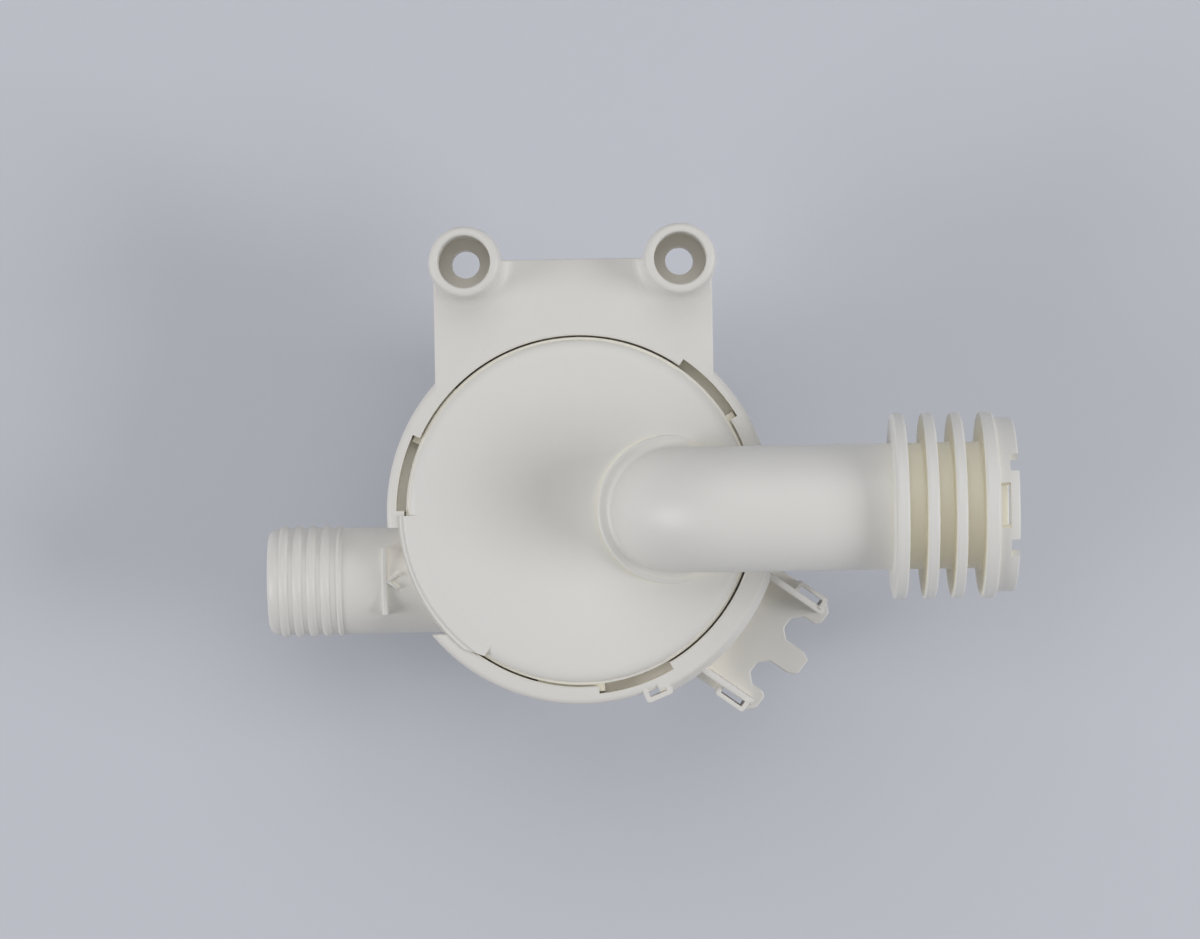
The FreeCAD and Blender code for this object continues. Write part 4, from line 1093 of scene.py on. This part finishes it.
def set_inputs(made, values):
    """Sets a node's inputs, by name or number, to a value or to another node's output."""
    for name, value in values.items():
        if isinstance(value, bpy.types.NodeSocket):
            made.id_data.links.new(value, made.inputs[name])
        else:
            made.inputs[name].default_value = value


def node(tree, kind, values, **settings):
    """The outputs of a new shader node."""
    made = tree.nodes.new("ShaderNode" + kind)
    for name, value in settings.items():
        setattr(made, name, value)
    set_inputs(made, values)
    return made.outputs


def multiply_add(tree, value, factor, added):
    return node(tree, "Math", {0: value, 1: factor, 2: added}, operation="MULTIPLY_ADD")[0]


def add_sockets(tree, direction, sockets):
    """Adds (name, kind, default) sockets to a node group."""
    for name, kind, default in sockets:
        socket = tree.interface.new_socket(
            name, in_out=direction, socket_type="NodeSocket" + kind
        )
        if default is not None:
            socket.default_value = default


def surface_group(name, more=()):
    """A finish's node group, the place on the object, the group's inputs and its output node."""
    tree = bpy.data.node_groups.new(name, "ShaderNodeTree")
    add_sockets(tree, "INPUT", (
        ("Colour", "Color", (0.8, 0.8, 0.8, 1)), ("Variation", "Float", 0.03),
        ("Roughness", "Float", 0.4), ("Grain Size", "Float", 3000.0),
        ("Grain Depth", "Float", 0.01 * MM), *more,
    ))
    add_sockets(tree, "OUTPUT", (
        ("Colour", "Color", None), ("Roughness", "Float", None), ("Normal", "Vector", None),
    ))
    place = node(tree, "TexCoord", {})["Object"]
    given = tree.nodes.new("NodeGroupInput").outputs
    return tree, place, given, tree.nodes.new("NodeGroupOutput")


def varied_colour(tree, given, variation):
    """The given colour, made lighter and darker."""
    amount = multiply_add(tree, variation, given["Variation"], 1.0)
    return node(tree, "HueSaturation", {"Value": amount, "Color": given["Colour"]})["Color"]


def grain_normal(tree, given, height):
    return node(tree, "Bump", {"Distance": given["Grain Depth"], "Height": height})["Normal"]


def moulded_surface():
    """Moulded plastic or rubber: soft patches, faint flow marks, a fine grain, and painted light
    in its hollows, which are paler and warmer where ambient occlusion finds a recess.
    """
    tree, place, given, out = surface_group("Moulded Surface", (
        ("Painted Hollow Light", "Color", (0.8, 0.8, 0.8, 1)), ("Painted Light Reach", "Float", 0.01),
    ))
    patches = node(tree, "TexNoise", {
        "Vector": place, "Scale": 55.0, "Detail": 4.0, "Roughness": 0.6,
    })
    flow = node(tree, "TexNoise", {
        "Vector": place, "Scale": 260.0, "Detail": 3.0, "Distortion": 1.2,
    })
    both = multiply_add(tree, flow["Fac"], 0.4, patches["Fac"])
    centred = node(tree, "Math", {0: both, 1: 0.7}, operation="SUBTRACT")[0]
    # Painted light: ambient occlusion picks out hollows, and there the colour is mixed towards the
    # painted hollow light colour. This stands in for light that shines through and bounces inside
    # the plastic.
    openness = node(tree, "AmbientOcclusion", {"Distance": given["Painted Light Reach"]}, samples=12)
    painted_hollow_light = node(tree, "MapRange", {
        "Value": openness["AO"], "From Min": 0.72, "From Max": 0.3,
    })
    colour_with_painted_light = node(tree, "Mix", {
        "Factor": painted_hollow_light["Result"], 6: varied_colour(tree, given, centred),
        7: given["Painted Hollow Light"],
    }, data_type="RGBA")
    grain = node(tree, "TexNoise", {
        "Vector": place, "Scale": given["Grain Size"], "Detail": 2.0, "Roughness": 0.55,
    })
    set_inputs(out, {
        "Colour": colour_with_painted_light[2], "Normal": grain_normal(tree, given, grain["Fac"]),
        "Roughness": multiply_add(tree, centred, 0.12, given["Roughness"]),
    })
    return tree


def worked_metal():
    """Rolled or turned metal: fine lines, cloudy sheen and small stains."""
    tree, place, given, out = surface_group("Worked Metal")
    stretch = node(tree, "Mapping", {"Vector": place, "Scale": (1.0, 0.06, 0.06)})
    lines = node(tree, "TexNoise", {
        "Vector": stretch["Vector"], "Scale": given["Grain Size"], "Detail": 3.0,
        "Roughness": 0.7,
    })
    clouds = node(tree, "TexNoise", {
        "Vector": place, "Scale": 90.0, "Detail": 5.0, "Roughness": 0.65,
    })
    centred = node(tree, "Math", {0: clouds["Fac"], 1: 0.5}, operation="SUBTRACT")[0]
    set_inputs(out, {
        "Colour": varied_colour(tree, given, centred),
        "Roughness": multiply_add(tree, lines["Fac"], 0.18, given["Roughness"]),
        "Normal": grain_normal(tree, given, lines["Fac"]),
    })
    return tree


def surface_material(name, group, values, settings):
    """A material whose shader takes its colour, roughness and grain from a group."""
    flat = bpy.data.materials.get(name)
    if flat:
        bpy.data.materials.remove(flat)
    material = bpy.data.materials.new(name)
    material.use_nodes = True
    surface = material.node_tree.nodes.new("ShaderNodeGroup")
    surface.node_tree = group
    set_inputs(surface, values)
    set_inputs(material.node_tree.nodes["Principled BSDF"], {
        "Base Color": surface.outputs["Colour"], "Roughness": surface.outputs["Roughness"],
        "Normal": surface.outputs["Normal"], **settings,
    })


def plastic(name, group, tint, roughness, variation, painted_hollow_light=None):
    """A plastic or a rubber; one given a painted hollow light colour gets painted light in its
    hollows, paler where light would shine through.
    """
    surface_material(name, group, {
        "Colour": (*tint, 1), "Variation": variation, "Roughness": roughness,
        "Grain Size": 2600.0, "Grain Depth": 0.012 * MM,
        "Painted Hollow Light": (*(painted_hollow_light or tint), 1), "Painted Light Reach": 8 * MM,
    }, {"IOR": 1.5})


def metal(name, group, tint, roughness):
    surface_material(name, group, {
        "Colour": (*tint, 1), "Variation": 0.12, "Roughness": roughness,
        "Grain Size": 4200.0, "Grain Depth": 0.004 * MM,
    }, {"Metallic": 1.0})


class DRAINVALVE_OT_finishes(Operator):
    """Makes the materials and puts them on the frame's own solids"""

    bl_idname = "drain_valve.finishes"
    bl_label = "Finishes"

    def execute(self, context):
        tints = context.scene.valve_finish
        moulded = moulded_surface()
        worked = worked_metal()
        # The body and cover plastics get painted hollow light: paler, warmer colour in their
        # recesses.
        plastic("ivory_body", moulded, tints.body, 0.44, 0.04, tints.body_painted_hollow_light)
        plastic("ivory_cover", moulded, tints.cover, 0.44, 0.03, tints.cover_painted_hollow_light)
        plastic("seal_rubber", moulded, tints.rubber, 0.62, 0.3)
        plastic("white_acetal", moulded, tints.acetal, 0.34, 0.04)
        plastic("black_nylon", moulded, tints.nylon, 0.48, 0.3)
        for name, tint, roughness in (
            ("zinc_steel", tints.zinc, 0.30), ("stainless", (0.60, 0.60, 0.60), 0.16),
            ("spring_steel", (0.42, 0.42, 0.44), 0.24), ("bronze", (0.52, 0.34, 0.17), 0.38),
            ("copper_wire", (0.72, 0.30, 0.14), 0.28), ("ferrite", (0.09, 0.09, 0.10), 0.50),
            ("tinned_brass", (0.74, 0.70, 0.60), 0.22),
        ):
            metal(name, worked, tint, roughness)
        for part in frame["record"]["subparts"]:
            solid = frame["nodes"][part["node"]]
            solid.data.materials.clear()
            solid.data.materials.append(bpy.data.materials[part["material_slot"]])
        return {"FINISHED"}


# Studio


class DRAINVALVE_OT_studio(Operator):
    """Adds the floor, the lamps, the surroundings and the camera"""

    bl_idname = "drain_valve.studio"
    bl_label = "Studio"

    def execute(self, context):
        scene = context.scene
        settings = scene.valve_studio
        ground = bmesh.new()
        bmesh.ops.create_grid(ground, x_segments=1, y_segments=1, size=3.0)
        floor = as_object("studio_floor", ground)
        material = bpy.data.materials.new("studio_floor")
        material.use_nodes = True
        set_inputs(material.node_tree.nodes["Principled BSDF"], {
            "Base Color": (*scene.valve_finish.floor, 1), "Roughness": 0.75,
        })
        floor.data.materials.append(material)
        aimed_at = Vector((0, 0, 0.04))
        for name, place, size, energy in (
            ("right_lamp", (0.88, -0.12, 0.64), 0.5, settings.right_power),
            ("left_lamp", (-0.97, -0.2, 0.5), 0.5, settings.left_power),
            ("top_lamp", (0.0, 0.72, 1.1), 1.2, settings.top_power),
        ):
            lamp_data = bpy.data.lights.new(name, "AREA")
            lamp_data.shape = "DISK"
            lamp_data.size = size
            lamp_data.energy = energy
            lamp_data.color = settings.light_colour
            lamp = added_object(name, lamp_data)
            lamp.location = place
            aim = aimed_at - lamp.location
            lamp.rotation_euler = aim.to_track_quat("-Z", "Y").to_euler()
        scene.world = bpy.data.worlds.new("surroundings")
        scene.world.use_nodes = True
        set_inputs(scene.world.node_tree.nodes["Background"], {
            "Color": (*settings.light_colour, 1), "Strength": settings.world_light,
        })
        camera_data = bpy.data.cameras.new("camera")
        camera_data.sensor_width = 36.0
        camera_data.lens = settings.focal_length
        camera = added_object("camera", camera_data)
        camera.location = settings.camera_place
        camera.rotation_euler = (0, 0, settings.camera_turn)
        scene.camera = camera
        scene.view_settings.view_transform = "Standard"
        return {"FINISHED"}


OPERATORS = (
    DRAINVALVE_OT_finishes,
    DRAINVALVE_OT_valve_body,
    DRAINVALVE_OT_outlet,
    DRAINVALVE_OT_bracket,
    DRAINVALVE_OT_cover,
    DRAINVALVE_OT_inlet,
    DRAINVALVE_OT_studio,
)

SETTINGS = {
    "valve_body": BodySizes,
    "valve_plate": PlateSizes,
    "valve_outlet": OutletSizes,
    "valve_bracket": BracketSizes,
    "valve_cover": CoverSizes,
    "valve_inlet": InletSizes,
    "valve_finish": FinishColours,
    "valve_studio": StudioSettings,
}


class DRAINVALVE_PT_panel(Panel):
    """Lists the pieces of the drain valve"""

    bl_idname = "DRAINVALVE_PT_panel"
    bl_label = "Drain Valve"
    bl_space_type = "VIEW_3D"
    bl_region_type = "UI"
    bl_category = "Drain Valve"

    def draw(self, context):
        for operator in OPERATORS:
            self.layout.operator(operator.bl_idname)


def register():
    for kind in (*SETTINGS.values(), *OPERATORS, DRAINVALVE_PT_panel):
        bpy.utils.register_class(kind)
    for name, kind in SETTINGS.items():
        setattr(bpy.types.Scene, name, PointerProperty(type=kind))


def unregister():
    for name in SETTINGS:
        delattr(bpy.types.Scene, name)
    for kind in (DRAINVALVE_PT_panel, *OPERATORS, *SETTINGS.values()):
        bpy.utils.unregister_class(kind)


def main():
    register()
    bpy.ops.drain_valve.finishes()
    bpy.ops.drain_valve.valve_body()
    bpy.ops.drain_valve.outlet()
    bpy.ops.drain_valve.bracket()
    bpy.ops.drain_valve.cover()
    bpy.ops.drain_valve.inlet()
    bpy.ops.drain_valve.studio()


if __name__ == "__main__":
    main()
